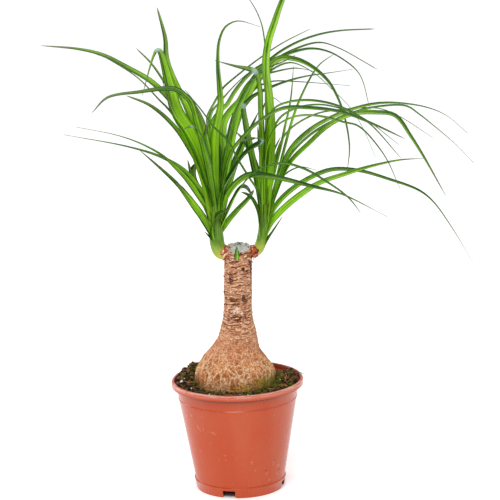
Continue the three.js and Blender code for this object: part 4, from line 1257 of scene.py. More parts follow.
def bulb_colour(tree, place, ridge):
    """Ochre skin with dark pits and a little painted highlight on the raised net, under pale lines: long and
    wide cells, with finer ones in patches.
    """
    trunk = settings("palm_trunk")
    mottle = clouds(tree, place, 95, 5, 0.65)
    skin = blend(tree, limits(tree, mottle, 0.4, 0.6, 0.2, 1), tuple(trunk.groove), tuple(trunk.bark))
    pits = spot_distance(tree, place, 430)
    skin = blend(tree, limits(tree, pits, 0.38, 0.24, 0, 0.85), skin, tuple(trunk.groove))
    skin = blend(tree, limits(tree, pits, 0.26, 0.12, 0, 0.4), skin, tuple(trunk.crack))
    fine = cell_borders(tree, warped(tree, stretched(tree, place, (1, 1, 0.75)), 300, 0.003), 265, 0.14)
    patches = limits(tree, clouds(tree, place, 70, 2), 0.42, 0.58, 0.2, 0.65)
    wide = cell_borders(tree, warped(tree, stretched(tree, place, (1, 1, 0.45)), 150, 0.006), 130, 0.095)
    long = cell_borders(tree, warped(tree, stretched(tree, place, (1, 1, 0.25)), 90, 0.008), 85, 0.075)
    # Painted highlight: the raised ridges of the net are made a little paler, as they catch the light.
    skin = blend(tree, limits(tree, ridge, 0.5, 1, 0, 0.2), skin, tuple(trunk.ridge))
    net = larger(tree, larger(tree, wide, long), times(tree, fine, patches))
    return blend(tree, net, skin, tuple(trunk.ridge))


def stem_colour(tree, place, ridge, bands):
    """Ringed bark in short dark and pale streaks, with peeled patches."""
    trunk = settings("palm_trunk")
    stem = blend(tree, limits(tree, bands, 0.4, 0.54, 0.15, 1), tuple(trunk.groove), tuple(trunk.stem))
    stem = blend(tree, limits(tree, times(tree, ridge, bands), 0.26, 0.42), stem, tuple(trunk.ridge))
    flakes = limits(tree, clouds(tree, stretched(tree, place, (210, 210, 620)), 1, 3, 0.6), 0.57, 0.63)
    return blend(tree, times(tree, flakes, 0.8), stem, tuple(trunk.peeled))


def mossy_colour(tree, place, moss, across, base):
    """Specks of moss near the soil: yellow at the left and in the middle, green at the right."""
    soil = settings("palm_soil")
    to_right = limits(tree, across, 6 * MM, 30 * MM)
    green = blend(tree, to_right, tuple(soil.moss_young), tuple(soil.moss))
    tufts = clouds(tree, stretched(tree, place, (420, 420, 260)), 1, 4, 0.65)
    tufts = plus(tree, tufts, times(tree, moss, 0.3))
    base = blend(tree, limits(tree, tufts, 0.68, 0.83, 0, 0.85), base, green)
    pits = times(tree, limits(tree, clouds(tree, place, 640, 3), 0.5, 0.62), moss)
    return blend(tree, times(tree, pits, 0.6), base, tuple(soil.moss_dark))


def cut_material():
    """Weathered grey wood with darker fibres, most towards the far side."""
    trunk = settings("palm_trunk")
    material, tree, shader = new_surface("cut_wood", 0.55)
    place = object_place(tree)
    fibres = clouds(tree, stretched(tree, place, (230, 700, 700)), 1, 4, 0.65)
    patches = limits(tree, clouds(tree, place, 190, 3), 0.42, 0.55, 0.35, 1)
    _, deep, _ = coordinates(tree, place)
    far = limits(tree, deep, -2 * MM, 7 * MM, 0.3, 1)
    streaks = times(tree, times(tree, limits(tree, fibres, 0.43, 0.5), patches), far)
    base = blend(tree, streaks, tuple(trunk.cut), tuple(trunk.cut_fibre))
    tree.links.new(base, shader.inputs["Base Color"])
    raise_bumps(tree, shader, fibres, 0.5, 0.0006)
    return material


def collar_material(name, first, second, third):
    """Reddish skin with paler papery streaks."""
    material, tree, shader = new_surface(name, 0.6, Specular_IOR_Level=0.25)
    place = object_place(tree)
    streaks = clouds(tree, stretched(tree, place, (380, 380, 700)), 1, 4, 0.6)
    base = blend(tree, limits(tree, streaks, 0.4, 0.62), first, second)
    base = blend(tree, limits(tree, clouds(tree, place, 330, 4), 0.54, 0.62, 0, 0.9), base, third)
    base = blend(tree, limits(tree, clouds(tree, place, 260, 3), 0.47, 0.4, 0, 0.95), base,
                 tuple(settings("palm_trunk").crack))
    tree.links.new(base, shader.inputs["Base Color"])
    raise_bumps(tree, shader, streaks, 0.5, 0.0006)
    return material


# Leaves

# Each leaf: its width as seen from the front, how early it narrows (0.3 only near its tip, 1.5 from its root
# on), how far back its tip leans (forwards where negative), an extra bow of its middle in the same sense, its
# tone from 0, dark, to 1, bright, which holds painted shade for leaves that lie in shadow as well as each
# leaf's own colour, and the points (x, z) of its middle line from root to tip, as seen against the upright
# plane through the trunk. All sizes are millimetres.
LEFT_LEAVES = [
    (5.2, 0.6, 30, 0, 0.5, [(-15, 246), (-18, 275), (-24, 300), (-33, 325), (-45, 349), (-66, 373.5),
     (-90, 389), (-110, 400), (-130, 405.5), (-163, 409.5)]),
    (3.2, 0.6, -15, 0, 0.3, [(-16, 246), (-20, 275), (-31, 308), (-41, 331.5), (-47.3, 341), (-54, 350.5),
     (-61, 358), (-80, 379), (-112, 400.5)]),
    (8, 0.7, -35, 0, 0.15, [(-15, 246), (-19, 285), (-24, 315), (-29.5, 340), (-33.5, 355), (-38.4, 361),
     (-43, 365.3), (-50, 368), (-60, 368), (-77.5, 366), (-107, 361.7), (-121, 348.7)]),
    (4.5, 0.45, -5, 0, 0.4, [(-15, 244), (-21.5, 280), (-29.5, 301), (-37.5, 316), (-45, 329), (-52.5, 338.5),
     (-61.5, 347.5), (-71.5, 355), (-90, 363)]),
    (5, 0.5, 25, 0, 0.6, [(-15, 246), (-22, 300), (-35, 345), (-53, 392), (-54, 413), (-60, 440)]),
    (13.5, 0.85, -10, 0, 0.85, [(-15, 242), (-21, 281), (-29.5, 311), (-37, 331), (-42.4, 340), (-47, 350),
     (-49.5, 360), (-51, 369), (-53, 378), (-54.7, 386), (-56.4, 393), (-58.5, 400), (-61, 403), (-64.5, 398),
     (-76, 363)]),
    (4, 0.8, -14, 0, 0.95, [(-15, 242), (-22, 283), (-31, 314), (-40.5, 333), (-46.8, 342), (-50.5, 350),
     (-53.7, 359), (-56, 368), (-58.5, 378)]),
    (1.8, 0.3, 45, 0, 0.3, [(-15, 246), (-22, 290), (-33, 325), (-45, 355), (-57, 375.5), (-67, 391),
     (-79.5, 404.5)]),
    (7, 0.6, 15, 0, 0.2, [(-14, 245), (-16, 280), (-20.5, 312), (-23.4, 328.5), (-24.8, 336), (-27.3, 344),
     (-30, 351), (-34, 360)]),
    (4.5, 0.8, -50, 0, 0.3, [(-14, 246), (-17, 290), (-21, 314), (-26, 328), (-33, 334), (-41, 331.5)]),
    (7.5, 1.2, -20, 0, 0.5, [(-14, 236), (-19.5, 254), (-24.5, 264), (-29.5, 271.5), (-34.5, 279),
     (-39.6, 286.4), (-44.4, 292.2), (-49.9, 298.1), (-55.4, 304), (-63, 310.5), (-80.5, 320.5), (-100, 328),
     (-136, 336.5)]),
    (4.5, 1, 25, 0, 0.4, [(-14, 240), (-20, 262), (-30, 280), (-42, 295), (-61.5, 307.3), (-90.5, 317.4),
     (-147, 329.9)]),
    (11.5, 0.8, -25, 0, 0.5, [(-15, 230), (-19, 237), (-23.5, 245), (-28.5, 253.5), (-33.5, 261),
     (-38, 267.8), (-41.5, 272.8), (-44.3, 276.8), (-46.3, 279.6), (-47.6, 281.4), (-48.4, 282.5),
     (-49, 283.3)]),
    (7, 0.8, -40, 0, 0.1, [(-15, 230), (-20, 238), (-27, 250.5), (-37.5, 267), (-47.3, 281), (-62, 296.5),
     (-81, 314.5)]),
    (10.5, 1.1, -10, 0, 0.7, [(-13.5, 250), (-13.6, 285), (-13, 317), (-12, 328), (-9, 341), (-6.9, 350),
     (-6.6, 357), (-7, 365), (-7.6, 374), (-8.2, 384), (-8, 396), (-6.5, 409), (-0.8, 421), (10, 426),
     (30, 420.3)]),
    (1.3, 0.4, 60, 0, 0.2, [(-13, 248), (-15, 290), (-19, 330), (-19.1, 342), (-17.3, 346.5), (-13.8, 352.5),
     (-11.2, 357), (-4.5, 367.3), (3.5, 374.3), (26.6, 391.4), (48, 405), (73, 417)]),
    (6.5, 0.6, 15, 0, 0.2, [(-15, 238), (-19.5, 260), (-24.6, 269), (-29.5, 275.5), (-32.7, 281.8),
     (-34.4, 288.4), (-34, 293.6), (-33, 296.6), (-32.2, 298.6), (-31.5, 300)]),
    (8.5, 0.8, -30, 0, 0.05, [(-12, 250), (-10.2, 272), (0.8, 292), (11.7, 307), (22, 315), (29, 318.5),
     (24, 321.5), (8, 319)]),
    (9, 0.7, -16, 0, 0.3, [(-15, 228), (-18, 238), (-17.5, 247), (-13, 253.5), (-3.5, 257)]),
    (1.5, 0.8, 80, 0, 0.2, [(-13, 246), (-16, 300), (-18, 335), (-15.1, 346.4), (-10.5, 352), (-3.7, 359.4),
     (3.3, 366.8), (14, 376.8), (36, 392)]),
    (5, 0.5, -70, -12, 0.35, [(-11, 250), (-8, 275), (0, 307), (10.6, 321.6), (28.4, 337.5), (48, 347.5),
     (73, 347.2), (100, 342.6), (127, 331.4), (155, 317.3)]),
    (8, 1.2, -75, -22, 0.4, [(-12, 246), (-3.9, 270), (6.1, 282.8), (17.5, 288.5), (40, 285.6), (71.4, 276.9),
     (98.4, 268.8), (138.7, 247)]),
    (2, 0.6, -100, -18, 0.15, [(-11, 246), (0.7, 266), (11.6, 282), (24, 292.8), (46, 298.3), (65.6, 292.7),
     (85, 280.6), (103.8, 266), (115, 251.3)]),
    (4, 0.3, 16, 4, 0.75, [(-12, 236), (-3.5, 248), (5.5, 258), (15, 267.5), (20, 275)]),
    (3, 0.25, 70, 10, 0.5, [(-13, 250), (-15, 290), (-17, 318), (-16.3, 333), (-13, 340.5), (-8, 346.5),
     (-1.4, 352.5), (1.5, 357), (4.9, 362.5), (9, 368), (14.1, 374), (23, 382), (37, 389.5), (49.5, 394.5),
     (71.5, 399.8), (87, 397.5), (101.7, 389.6), (116.3, 375.7), (125, 344)]),
    (6.3, 0.45, 50, 8, 0.7, [(-12.5, 250), (-6, 285), (-1, 308), (2.3, 325), (5.2, 337), (9, 347.5),
     (13.1, 353.5), (18.6, 363), (25, 374), (34, 382.5), (46, 391.8), (59.5, 391), (73, 384.8), (88.5, 370.3),
     (98.3, 350.8), (103.5, 332), (106, 310), (104, 292)]),
    (1.8, 0.8, 95, 14, 0.3, [(-13, 250), (-2, 300), (8, 335), (20, 362), (36, 380), (55, 388), (75, 379),
     (91, 364), (107, 347), (117, 330.5), (129, 301.5)]),
    (2, 0.15, 85, 8, 0.3, [(-13, 250), (-6, 300), (3, 340), (14, 363), (24, 378), (41, 394), (60, 405),
     (80, 411.8), (99.5, 414.8), (130, 415.5)]),
    (1.5, 0.1, 110, 16, 0.25, [(-13, 250), (-5, 300), (6, 340), (20, 368), (38, 388), (61.5, 400.5),
     (81.5, 405), (97.5, 400), (131.5, 380)]),
    (6.5, 0.9, 40, 12, 0.9, [(-12, 250), (-10.3, 285), (-7.5, 300), (-6.3, 315), (-6.2, 325), (-5, 335.5),
     (-1, 343.5), (5, 350.5), (9.6, 355.5), (12.5, 361), (15.5, 366.5), (20.6, 373), (28, 377.5),
     (37.5, 379.5), (60, 383), (75, 380)]),
    (1.8, 0.8, 60, 30, 0.35, [(-12, 250), (-4, 305), (8, 340), (22, 364), (37, 371.5), (60.5, 371), (81, 369),
     (108, 366)]),
    (3.5, 0.6, -8, 0, 0.1, [(-12, 222), (-18.5, 230.5), (-25, 238)]),
    (6, 0.8, 45, 8, 0.4, [(-12, 246), (-5, 275), (4, 300), (12, 318), (19, 331), (26, 345)]),
    (8, 0.8, 75, 0, 0.4, [(-15, 244), (-20, 275), (-27, 305), (-37, 335), (-50, 358)]),
    (7, 0.7, -25, 0, 0.45, [(-12, 240), (-5, 255), (0, 265), (5, 274), (10, 278.5), (14, 277), (18, 270)]),
    (1.5, 0.6, 0, 0, 0.05, [(-15, 246), (-20, 290), (-26, 320), (-29.3, 332.5), (-31, 339), (-32.6, 347),
     (-33.2, 353)]),
    (1.3, 0.5, 20, 0, 0.1, [(-13, 250), (-4, 310), (8, 350), (22, 373), (37, 384.5), (48, 388.5),
     (60, 394.5)]),
    (3.5, 0.6, 12, 0, 0.0, [(-14.5, 246), (-18, 268), (-21.5, 290), (-23, 310), (-22, 325), (-19, 338)]),
    (3, 0.6, 8, 0, 0.05, [(-12, 246), (-11, 268), (-9, 290), (-8.5, 308), (-10, 322)]),
    (4, 0.6, 14, 0, 0.0, [(-15.5, 240), (-22, 258), (-29, 276), (-35, 290), (-38, 304)]),
]
RIGHT_LEAVES = [
    (9.5, 0.85, -12, 0, 0.85, [(29.5, 245), (35, 290), (37.5, 330), (36.5, 358), (34, 385), (36.6, 406),
     (42.8, 424.2), (48.5, 439.6), (57, 457.5), (68, 470), (84, 476)]),
    (0.9, 0.8, 20, 0, 0.1, [(29, 250), (33, 320), (34.5, 380), (33.8, 400.5), (30.6, 424.3), (21.2, 444.2),
     (10, 456)]),
    (9, 0.9, -20, -6, 0.2, [(28.5, 245), (27.5, 290), (28, 330), (27.6, 350), (27.5, 366), (24.5, 380.5),
     (18, 383.5), (8, 386), (-11, 392)]),
    (6, 0.8, -8, 0, 0.25, [(28, 245), (28, 275), (31, 310), (33, 335), (33, 360), (33, 384)]),
    (4.6, 1.5, -25, 0, 0.4, [(29, 245), (38, 270), (52, 308), (70, 326.5), (90, 338), (110, 345.3),
     (130, 349.5), (151, 349.3), (176, 344.5), (192.7, 336.8), (211.3, 320.2)]),
    (5, 0.65, -60, 0, 0.75, [(29.5, 240), (40, 272), (52, 297.5), (70, 315.5), (90, 332.5), (110, 341),
     (130, 341.5), (147, 338.3), (161, 318.7), (173, 298.6), (191.2, 264.6)]),
    (3, 1.3, -85, 0, 0.3, [(29, 245), (38, 268), (52, 303), (70, 322), (90, 334), (110, 342), (130, 346.5),
     (157, 346.5), (167.5, 339.5), (180.5, 328.7), (200, 311.2), (216.2, 293.7)]),
    (1.3, 0.5, 40, 0, 0.25, [(29, 250), (36, 290), (50, 325), (75, 341), (100, 345), (132.5, 345),
     (150.5, 337.5), (180, 317.5)]),
    (4.2, 0.95, 35, 0, 0.3, [(28, 238), (37.5, 257.5), (51.5, 272.5), (71.5, 285), (90, 291.3), (112.5, 290),
     (140, 281.4), (167.3, 270.2), (179.7, 259.8), (196.8, 234.8), (215.5, 202)]),
    (6.3, 1, -20, 0, 0.85, [(27.5, 231), (34.5, 244.5), (47, 258), (62.5, 270), (77.5, 279), (103.5, 287.5),
     (126.5, 293.7), (151, 298.2), (172, 299)]),
    (2, 1, -6, 0, 0.4, [(29, 258), (40, 275), (48, 288), (62, 294.5), (77, 290.8)]),
    (4, 0.6, -5, 0, 0.4, [(26, 222), (30.5, 229), (35, 235.5), (45, 250)]),
    (8, 0.7, -12, 0, 0.35, [(25.5, 232), (25, 245), (23.5, 255), (20, 264), (15.5, 270), (8.5, 273.5)]),
    (6, 0.8, 14, 0, 0.3, [(28, 250), (25.5, 275), (22, 295), (17.5, 310), (12, 321), (5.5, 328)]),
    (1.6, 0.6, 60, 0, 0.65, [(29, 250), (38, 275), (46, 304), (56, 337.5), (65, 359.5), (80, 384.5),
     (94, 394.5)]),
    (1.9, 0.5, -60, 0, 0.25, [(29, 250), (30, 290), (33, 330), (40, 347.5), (52.5, 353), (67.5, 354.3),
     (81.5, 352.8), (96.5, 348.5), (111.2, 341), (125.7, 330.4), (151.5, 300)]),
    (1.7, 0.6, -70, 0, 0.4, [(29, 250), (30, 290), (34, 318), (42, 332), (55, 339), (67.5, 341), (86, 338.5),
     (102, 333.5), (112, 331), (120, 325), (138, 301), (150.5, 272)]),
    (1.6, 0.5, 15, 0, 0.3, [(29, 250), (34, 310), (44, 338), (60, 347.5), (80, 350), (100, 345.5), (120, 336),
     (150, 312)]),
    (3.5, 0.4, -53, -10, 0.05, [(26.5, 246), (25, 266), (21.9, 277), (17.6, 284), (11, 295.5), (4.7, 307),
     (0.3, 317.5), (-3.6, 322.5), (-8, 326.8), (-14.3, 333.5), (-19.8, 341.5), (-24.9, 349), (-31.8, 358),
     (-38, 366.5)]),
    (6, 0.9, 20, 0, 0.25, [(28, 246), (26.5, 262), (23.8, 282), (20.5, 300), (17.5, 317), (15.4, 330),
     (14.2, 339), (13.2, 346), (13.4, 350.5), (16, 353.8), (20.1, 358), (26, 361.5), (37, 366.5),
     (51.5, 371.5), (68.5, 375.5), (85.5, 377.5), (110, 380.5)]),
    (1.5, 0.7, 45, 0, 0.6, [(29, 250), (36, 280), (42.8, 306), (46.6, 320), (49.7, 333.5), (52.7, 344.5),
     (55.2, 357.5), (56.8, 371), (58, 385)]),
    (3, 0.6, 14, 0, 0.0, [(27.5, 246), (30, 270), (33.5, 292), (38, 308), (45, 322)]),
    (2.6, 0.6, 16, 0, 0.05, [(28, 246), (29, 272), (28.5, 296), (26, 316), (25, 332)]),
    (1.6, 0.5, 6, 0, 0.2, [(28, 250), (27, 290), (28, 335), (32, 352), (39, 357.5), (46.5, 352)]),
]
# Shoots: the points (x, z) of each one's middle line, with its radius there
LEFT_SHOOT = [(-5.5, 217, 5.4), (-10.5, 218.5, 6), (-13.6, 224, 6.3), (-14.5, 238, 5.8), (-14, 262, 4.4)]
RIGHT_SHOOT = [(17.5, 217.5, 4), (21.5, 219.5, 4.3), (25.2, 227, 4.5), (27, 237, 4.2), (29, 262, 3.2)]

VIEWPOINT = Vector(CAMERA_PLACE) / MM
BLADE_FOLD = 0.36             # how far a blade's edges stand over its rib, as a share of half its width
RIB_DROP = 0.75               # how far the rib lies behind the traced line, as a share of the fold's height
BLADE_COLUMNS = 8
SHOOT_SIDES = 60
SHOOT_ROWS = 56
ROW_STEP = 4.5                # between two rows of a blade, in millimetres
THINNEST = 0.16               # half the width of a blade's tip, in millimetres


class SmoothLine:
    """A curve through points, in the centripetal form that has no loops or overshoots."""

    def __init__(self, points):
        self.points = points

    def at(self, share):
        """The point at a share of the way, from 0 at the first to 1 at the last."""
        points = self.points
        last = len(points) - 1
        place = share * last
        index = min(int(place), last - 1)
        weight = place - index
        one, two = points[index], points[index + 1]
        before = points[index - 1] if index > 0 else 2 * one - two
        after = points[index + 2] if index + 2 <= last else 2 * two - one
        gap = max((two - one).length ** 0.5, 0.01)
        gap_before = max((one - before).length ** 0.5, 0.01)
        gap_after = max((after - two).length ** 0.5, 0.01)
        slope_one = ((one - before) / gap_before - (two - before) / (gap_before + gap)
                     + (two - one) / gap) * gap
        slope_two = ((two - one) / gap - (after - one) / (gap + gap_after)
                     + (after - two) / gap_after) * gap
        return eased(one, slope_one, two, slope_two, weight)

    def heading(self, share):
        """The curve's direction at a share of its way."""
        step = 0.001
        return (self.at(min(1, share + step)) - self.at(max(0, share - step))).normalized()


def leaf_line(leaf):
    """A leaf's middle line in space: each traced point slides along its line of sight to its own depth."""
    _, _, tip_back, bow_back, _, route = leaf
    flat = [Vector((x, 0, z)) for x, z in route]
    lengths = [0]
    for one, two in zip(flat, flat[1:]):
        lengths.append(lengths[-1] + (two - one).length)
    points = []
    for point, along in zip(flat, lengths):
        share = along / lengths[-1]
        back = tip_back * share ** 1.5 + bow_back * 4 * share * (1 - share)
        points.append(VIEWPOINT.lerp(point, (back - VIEWPOINT.y) / -VIEWPOINT.y))
    return SmoothLine(points)


def leaf_stations(line):
    """Where a leaf's rows stand: evenly between its traced points, and closer where these are close."""
    spans = len(line.points) - 1
    stations = [0]
    for index in range(spans):
        gap = (line.points[index + 1] - line.points[index]).length
        parts = max(3, math.ceil(gap / ROW_STEP))
        stations += [(index + (part + 1) / parts) / spans for part in range(parts)]
    return stations


def square_part(vector, axis):
    """The part of a vector that is square to an axis."""
    return vector - axis * vector.dot(axis)


class Blade:
    """A channelled leaf blade: where each spot of a flat strip comes to lie."""

    def __init__(self, leaf, twist):
        self.seen, self.taper, _, _, self.tone, _ = leaf
        self.line = leaf_line(leaf)
        self.width = min(settings("palm_leaves").widest / MM, 0.9 + 1.3 * self.seen)
        self.turn = max(0.0, math.asin(min(1.0, self.seen / self.width)) - math.radians(8))
        self.twist = twist
        root, tip = self.line.at(0), self.line.at(1)
        outward = Vector((tip.x - root.x, tip.y - root.y, 0)).normalized()
        self.level_side = outward.cross(Vector((0, 0, 1)))

    def row(self, share):
        """Middle point, way across, way up, half width and bend of the blade at a share of its line."""
        point = self.line.at(share)
        ahead = self.line.heading(share)
        spread = min(1.1, 0.85 + 1.5 * share) * (1 - share ** 1.5) ** self.taper
        half = max(THINNEST, self.width * spread / 2)
        step = 0.02
        low, high = max(0, share - step), min(1, share + step)
        change = self.line.heading(high) - self.line.heading(low)
        bend = change.length / max(0.01, (self.line.at(high) - self.line.at(low)).length)
        turn = min(self.turn, math.asin(min(1.0, 0.8 / (half * bend + 1e-6))))
        to_front = square_part(VIEWPOINT - point, ahead).normalized()
        side = square_part(self.level_side, ahead).normalized()
        natural = side.cross(ahead)
        face = square_part(natural * math.cos(turn) + to_front * math.sin(turn), ahead).normalized()
        face = Matrix.Rotation(self.twist * share, 3, ahead) @ face
        point = point - face * (RIB_DROP * BLADE_FOLD * half)
        return point, ahead.cross(face), face, half, bend


def make_blade(leaf, twist, seed):
    """One leaf: a flat grid laid along its line, channelled, with wavy edges and a hair-thin tip."""
    blade = Blade(leaf, twist)
    stations = leaf_stations(blade.line)
    row_count = len(stations) - 1
    piece = new_grid(BLADE_COLUMNS, row_count)
    rows = [blade.row(share) for share in stations]
    dry_from = 0.86 + 0.1 * random.Random(seed).random()
    looks = []
    for vertex in piece.data.vertices:
        across = vertex.co.x * 2
        index = round((vertex.co.y + 0.5) * row_count)
        share = stations[index]
        point, side, face, half, bend = rows[index]
        wave = 0.05 * half * noise.noise(Vector((share * 9, seed * 3.7, across))) * abs(across)
        rise = BLADE_FOLD * half * abs(across) ** 1.25 + wave
        vertex.co = (point + side * (half * across) + face * rise) * MM
        # Painted sheen: sharp bends of the blade are whitened, as folds that catch the light.
        silver_and_sheen = smoothstep(bend, 0.07, 0.16)
        dry = smoothstep(share, dry_from, 1.0)
        looks.append((blade.tone, dry, silver_and_sheen, share))
    write_look(piece, looks)
    weights = piece.vertex_groups.new(name="thick")
    for vertex in piece.data.vertices:
        share = stations[min(row_count, vertex.index // (BLADE_COLUMNS + 1))]
        edge = 1 - 0.5 * abs((vertex.index % (BLADE_COLUMNS + 1)) / BLADE_COLUMNS * 2 - 1)
        weights.add([vertex.index], max(0.25, edge * (1 - 0.7 * share)), "REPLACE")
    return piece


def make_shoot(name, shoot, seed):
    """The foot of a shoot, clasped by overlapping leaf bases."""
    line = SmoothLine([Vector((x, 0, z)) for x, z, _ in shoot])
    radii = SmoothLine([Vector((radius, index * 10, 0)) for index, (_, _, radius) in enumerate(shoot)])
    piece = new_grid(SHOOT_SIDES, SHOOT_ROWS)
    piece.name = piece.data.name = name
    looks = []
    for vertex in piece.data.vertices:
        angle = (vertex.co.x + 0.5) * math.tau
        share = vertex.co.y + 0.5
        point, ahead = line.at(share), line.heading(share)
        side = Vector((0, 1, 0)).cross(ahead).normalized()
        spoke = side * math.cos(angle) + Vector((0, 1, 0)) * math.sin(angle)
        clasp = (angle * 3 / math.tau + share * 2.2 + seed) % 1.0
        lap = 0.35 * smoothstep(clasp, 0, 0.12) * (1 - clasp) * smoothstep(share, 0.15, 0.4)
        radius = radii.at(share).x * (1 + 0.12 * lap) + lap
        vertex.co = (point + spoke * radius) * MM
        looks.append((0.55 - 0.3 * clasp, 0.0, 0.0, 0.32 * share))
    write_look(piece, looks)
    close_tube(piece)
    smooth(piece, 50)
    return piece


def make_head(name, leaves, seed):
    """All the blades of one head, joined and given their thickness; undersides take the second material."""
    draw = random.Random(seed)
    blades = []
    for index, leaf in enumerate(leaves):
        twist = math.radians(draw.uniform(-14, 14))
        blades.append(make_blade(leaf, twist, seed * 100 + index))
    head = join(blades, name)
    apply_modifier(head, "SOLIDIFY", thickness=settings("palm_leaves").thickness, offset=0,
                   vertex_group="thick", thickness_vertex_group=0.3, material_offset=1,
                   use_even_offset=False)
    pick(head)
    bpy.ops.object.shade_smooth()
    return head


def leaf_material(name, underside):
    """A satin leaf: fine veins along the blade, pale foot and a dry tip, with silvery painted sheen on its
    folds, painted highlights along the rib and in glints, painted shade on one half of the blade and along
    its edges, and painted light near its root.
    """
    leaves = settings("palm_leaves")
    material, tree, shader = new_surface(name, 0.42, Specular_IOR_Level=0.14)
    tone, dry, silver_and_sheen, along = look_shares(tree)
    strip = node(tree, "ShaderNodeUVMap", uv_map="UVMap").outputs["UV"]
    veins = clouds(tree, stretched(tree, strip, (26, 1.4, 1)), 1, 3, 0.65)
    streaks = clouds(tree, stretched(tree, strip, (6.5, 1, 1)), 1, 2, 0.5)
    shades = clouds(tree, object_place(tree), 45, 3, 0.5)
    across, _, _ = coordinates(tree, strip)
    tint = plus(tree, limits(tree, veins, 0.36, 0.64, -0.4, 0.34), tone)
    tint = plus(tree, tint, limits(tree, streaks, 0.36, 0.64, -0.4, 0.4))
    tint = plus(tree, tint, limits(tree, shades, 0.35, 0.65, -0.2, 0.2))
    # Painted light: lighter near the root, where the heart of each head lies in shade, and darker towards the
    # tip.
    tint = plus(tree, tint, limits(tree, along, 0.1, 0.75, 0.34, -0.5))
    # Painted shade: one half of each blade is darker and the other lighter, as light falls on a channelled
    # leaf.
    tint = plus(tree, tint, limits(tree, across, 0.46, 0.54, -0.22, 0.22))
    base = blend(tree, tint, tuple(leaves.dark), tuple(leaves.bright))
    from_rib = node(tree, "ShaderNodeMath", operation="ABSOLUTE")
    tree.links.new(plus(tree, across, -0.5), from_rib.inputs[0])
    # Painted highlight: a pale line along the rib.
    rib = limits(tree, from_rib.outputs["Value"], 0.06, 0.02, 0, 0.5)
    # Painted shade: dark lines along the edges of each blade stand in for the shade between overlapping
    # leaves.
    edge = limits(tree, from_rib.outputs["Value"], 0.4, 0.5, 0, 0.6)
    foot = limits(tree, along, 0.1, 0, 0, 0.5)
    # Painted highlight along the rib, in the pale colour of the leaf base.
    base = blend(tree, rib, base, tuple(leaves.base))
    # Painted shade along the edges.
    base = blend(tree, edge, base, tuple(leaves.dark))
    base = blend(tree, foot, base, tuple(leaves.base))
    # Painted highlight: bright glints in lines along the blades.
    glints = limits(tree, clouds(tree, stretched(tree, strip, (15, 1.6, 1)), 1, 2, 0.5), 0.56, 0.64, 0, 0.55)
    base = blend(tree, glints, base, tuple(leaves.glint))
    base = blend(tree, limits(tree, along, 0.4, 0.9, 0, 0.4), base, tuple(leaves.deep))
    # Painted sheen on sharp folds.
    base = blend(tree, times(tree, silver_and_sheen, 0.75), base, tuple(leaves.silver_and_sheen))
    if underside:
        pale = limits(tree, veins, 0.3, 0.7, 0.3, 0.5)
        base = blend(tree, pale, base, tuple(leaves.silver_and_sheen))
    base = blend(tree, dry, base, tuple(leaves.dry))
    tree.links.new(base, shader.inputs["Base Color"])
    raise_bumps(tree, shader, veins, 0.35, 0.0005)
    return material


def sheath_material():
    """Clasping leaf bases: fine dark lines up the shoot, and a yellow-green foot."""
    leaves = settings("palm_leaves")
    material, tree, shader = new_surface("sheath", 0.42, Specular_IOR_Level=0.3)
    tone, _, _, along = look_shares(tree)
    strip = node(tree, "ShaderNodeUVMap", uv_map="UVMap").outputs["UV"]
    lines = clouds(tree, stretched(tree, strip, (46, 1.6, 1)), 1, 3, 0.6)
    patches = clouds(tree, object_place(tree), 120, 2)
    tint = plus(tree, limits(tree, lines, 0.36, 0.64, -0.35, 0.35), tone)
    tint = plus(tree, tint, limits(tree, patches, 0.35, 0.65, -0.15, 0.15))
    base = blend(tree, tint, tuple(leaves.sheath_dark), tuple(leaves.sheath))
    base = blend(tree, limits(tree, along, 0.2, 0.07, 0, 0.85), base, tuple(leaves.sheath_foot))
    tree.links.new(base, shader.inputs["Base Color"])
    raise_bumps(tree, shader, lines, 0.35, 0.0005)
    return material


# Bud

def bud_half_width(rise):
    """Half the width of the bud leaf, as a share, from its narrow foot over its belly to its point."""
    return smoothstep(rise, -0.2, 0.3) * (1 - rise ** 1.7) ** 0.9


def make_bud():
    """A small folded leaf with a second one behind it, in front of the cut."""
    low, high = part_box("side_bud")
    middle = (low + high) / 2
    tall = high.z - low.z
    blades = []
    for lean, size in ((0.0, 1.0), (0.3, 0.7)):
        blade = new_grid(8, 22)
        looks = []
        for vertex in blade.data.vertices:
            across, rise = vertex.co.x * 2, vertex.co.y + 0.5
            half = (high.x - low.x) * 0.62 * size * bud_half_width(rise)
            x = middle.x + half * across * math.cos(lean) + (lean * 4 + 1.2 * rise - 0.9) * rise * MM
            y = low.y + (high.y - low.y) * (0.35 + 0.2 * (1 - rise)) - 1.2 * MM * rise
            y -= abs(across) * half * 0.6 - lean * 2 * MM
            vertex.co = Vector((x, y, low.z + rise * tall * size))
            looks.append((0.75 - 0.5 * abs(across), 0.35 * smoothstep(rise, 0.85, 1), 0.0, 0.1 + 0.6 * rise))
        write_look(blade, looks)
        blades.append(blade)
    bud = join(blades, "bud")
    apply_modifier(bud, "SOLIDIFY", thickness=0.7 * MM, offset=0)
    pick(bud)
    bpy.ops.object.shade_smooth()
    return bud


# Stage

PLANT_MIDDLE = Vector((0, 0, 240)) * MM


def floor_material():
    """White paper that glows a little, as a lit table does, so that shadows stay faint."""
    material, tree, shader = new_surface("floor", 0.9, Emission_Color=(1, 1, 1, 1))
    place = object_place(tree)
    from_middle = node(tree, "ShaderNodeVectorMath", operation="LENGTH")
    tree.links.new(place, from_middle.inputs[0])
    foot = settings("palm_pot").foot_radius
    glow = limits(tree, from_middle.outputs["Value"], foot - 6 * MM, foot + 2 * MM, 0,
                  settings("palm_stage").floor_glow)
    tree.links.new(glow, shader.inputs["Emission Strength"])
    base = blend(tree, clouds(tree, place, 3, 2), (0.9, 0.9, 0.9), (0.92, 0.92, 0.92))
    tree.links.new(base, shader.inputs["Base Color"])
    return material


